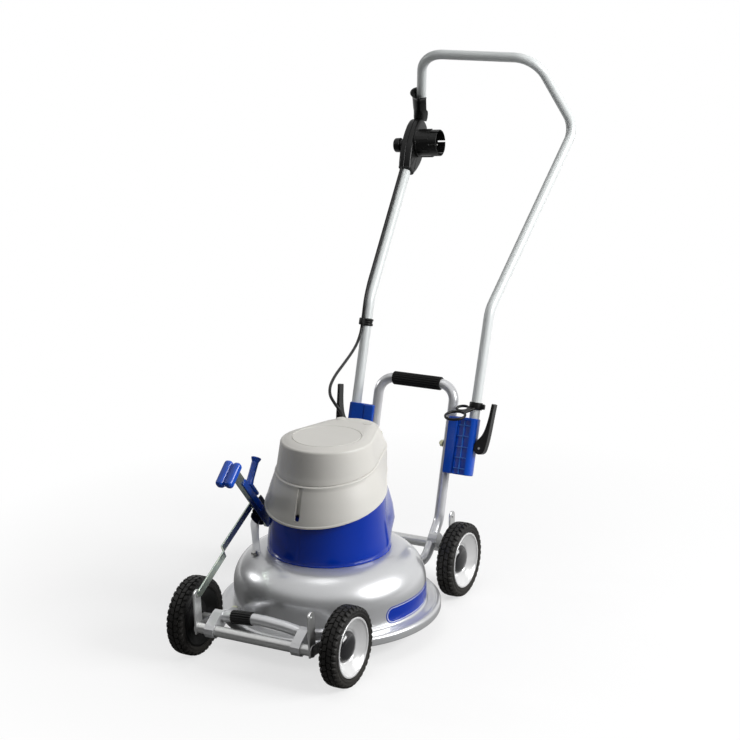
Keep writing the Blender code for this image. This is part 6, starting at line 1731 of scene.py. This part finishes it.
@dataclass
class Studio:
    """The white set: floor, soft lamps, world and camera."""

    floor_half: float = 60.0
    # Distances from the object's middle between which the floor grows white for the camera, and
    # depths behind it between which it grows white in reflections
    clear_from: Pair = (0.4, 1.1)
    shine_from: Pair = (-0.2, 0.9)
    # The world's white parts: the axis, where it starts and is full, its strength, whether only reflections see it
    white_parts: tuple[tuple[int, float, float, float, bool], ...] = (
        (2, 0.55, 0.95, 0.45, False), (1, 0.25, 0.85, 0.8, False), (2, 0.28, 0.66, 0.85, True))
    dim: float = 0.07
    camera_place: Point = (1.7725, -3.3803, 1.5504)
    azimuth: float = 28.14
    elevation: float = 15.64
    roll: float = -0.0148
    view_angle: float = 22.45

    def floor(self) -> None:
        """Make the floor: white to the camera and to reflections, with the object's shadow kept on it.

        The floor is a white diffuse surface, mixed with white light: for the camera more with the
        distance from the object, and for reflections more towards the white backdrop behind it.
        """
        half = self.floor_half
        mesh = bpy.data.meshes.new("studio_floor")
        mesh.from_pydata([(-half, -half, 0), (half, -half, 0), (half, half, 0), (-half, half, 0)], [], [(0, 1, 2, 3)])
        made = bpy.data.materials.new("studio_floor")
        made.use_nodes = True
        made.node_tree.nodes.clear()
        nodes = Nodes(made.node_tree)
        path = nodes.add("LightPath").outputs
        tone = nodes.blend(path["Is Camera Ray"], (0.2, 0.2, 0.2, 1), (0.96, 0.96, 0.96, 1))
        diffuse = nodes.add("BsdfDiffuse", {"Color": tone})
        glow = nodes.add("Emission")
        place = nodes.add("TexCoord").outputs["Object"]
        length = nodes.add("VectorMath", {0: place}, operation="LENGTH").outputs["Value"]
        far = nodes.ramp(length, self.clear_from, (0.62, 1.0))
        depth = nodes.add("SeparateXYZ", {0: place}).outputs[1]
        deep = nodes.ramp(depth, self.shine_from, (0.02, 0.85))
        shine = nodes.math("MULTIPLY", path["Is Glossy Ray"], deep)
        lit = nodes.math("MULTIPLY", far, path["Is Camera Ray"])
        factor = nodes.math("MAXIMUM", lit, shine)
        mix = nodes.add("MixShader", {0: factor, 1: diffuse.outputs[0], 2: glow.outputs[0]})
        nodes.add("OutputMaterial", {"Surface": mix.outputs[0]})
        mesh.materials.append(made)
        thing = linked("studio_floor", mesh)

    @staticmethod
    def lamp(name: str, place: Point, target: Point, size: Pair, power: float) -> None:
        """Add a soft area lamp that looks at a target."""
        data = bpy.data.lights.new(name, "AREA")
        data.shape, data.size, data.size_y = "RECTANGLE", *size
        data.energy = power
        thing = linked(name, data)
        way = Vector(target) - Vector(place)
        thing.matrix_world = Matrix.Translation(place) @ way.to_track_quat("-Z", "Y").to_matrix().to_4x4()

    def world(self) -> None:
        """Make the world: white to the camera, else dark in front and white overhead and behind."""
        made = bpy.data.worlds.new("studio")
        bpy.context.scene.world = made
        made.use_nodes = True
        nodes = Nodes(made.node_tree)
        back = made.node_tree.nodes["Background"].inputs
        path = nodes.add("LightPath").outputs
        place = nodes.add("TexCoord").outputs["Generated"]
        parted = nodes.add("SeparateXYZ", {0: place}).outputs
        total: object = 0.0
        for axis, low, high, most, shine in self.white_parts:
            part = nodes.ramp(parted[axis], (low, high), (self.dim, most), "SMOOTHSTEP")
            if shine:
                part = nodes.math("MULTIPLY", part, path["Is Glossy Ray"])
            total = nodes.math("MAXIMUM", total, part)
        nodes.give(back["Strength"], nodes.math("MAXIMUM", path["Is Camera Ray"], total))
        back["Color"].default_value = (1, 1, 1, 1)

    def camera(self) -> None:
        """Place the camera by azimuth A, elevation E and roll.

        Back = (sin A cos E, -cos A cos E, sin E), right = Z x back, up = back x right, both turned by the roll.
        """
        az, el = math.radians(self.azimuth), math.radians(self.elevation)
        back = Vector((math.sin(az) * math.cos(el), -math.cos(az) * math.cos(el), math.sin(el)))
        right = Vector((0, 0, 1)).cross(back).normalized()
        up = back.cross(right)
        c, s = math.cos(self.roll), math.sin(self.roll)
        right, up = right * c + up * s, up * c - right * s
        data = bpy.data.cameras.new("main_camera")
        data.sensor_width = 36.0
        data.lens = 18.0 / math.tan(math.radians(self.view_angle) / 2)
        thing = linked("main_camera", data)
        turn = Matrix((right, up, back)).transposed().to_4x4()
        thing.matrix_world = Matrix.Translation(self.camera_place) @ turn
        bpy.context.scene.camera = thing

    def build(self) -> None:
        """Set up the view transform, the floor, the lamps, the world and the camera."""
        bpy.context.scene.view_settings.view_transform = "Standard"
        self.floor()
        self.world()
        self.lamp("key", (3.9, 0.3, 2.4), (0, 0, 0.3), (3.0, 1.6), 205.0)
        self.lamp("overhead", (-0.2, -0.5, 4.0), (0, 0, 0.3), (1.2, 1.2), 7.0)
        self.lamp("side", (-3.4, -0.6, 1.6), (0, 0, 0.2), (0.45, 0.55), 15.0)
        self.camera()


def main() -> None:
    """Build every sub-assembly in order, then the set."""
    logging.basicConfig(level=logging.INFO, format="%(message)s")
    Deck().build()
    Tubes().build()
    Covers().build()
    for label, side, y in (("front_left", Side.LEFT, -0.2466), ("front_right", Side.RIGHT, -0.2466),
                           ("rear_left", Side.LEFT, 0.2588), ("rear_right", Side.RIGHT, 0.2588)):
        Wheel(label, side, y).build()
    Axle("front", -0.3001, -0.2466).build()
    Axle("rear", 0.3123, 0.2588, drop_arm=(-0.0332, -0.04)).build()
    bar = Handlebar()
    bar.build()
    for side in Side:
        Clamp(side).build()
    SwitchBox(bar.right_leg()).build()
    Cable(bar.right_leg()).build()
    CordHook().build()
    HeightAdjust().build()
    Motor().build()
    Studio().build()


if __name__ == "__main__":
    main()
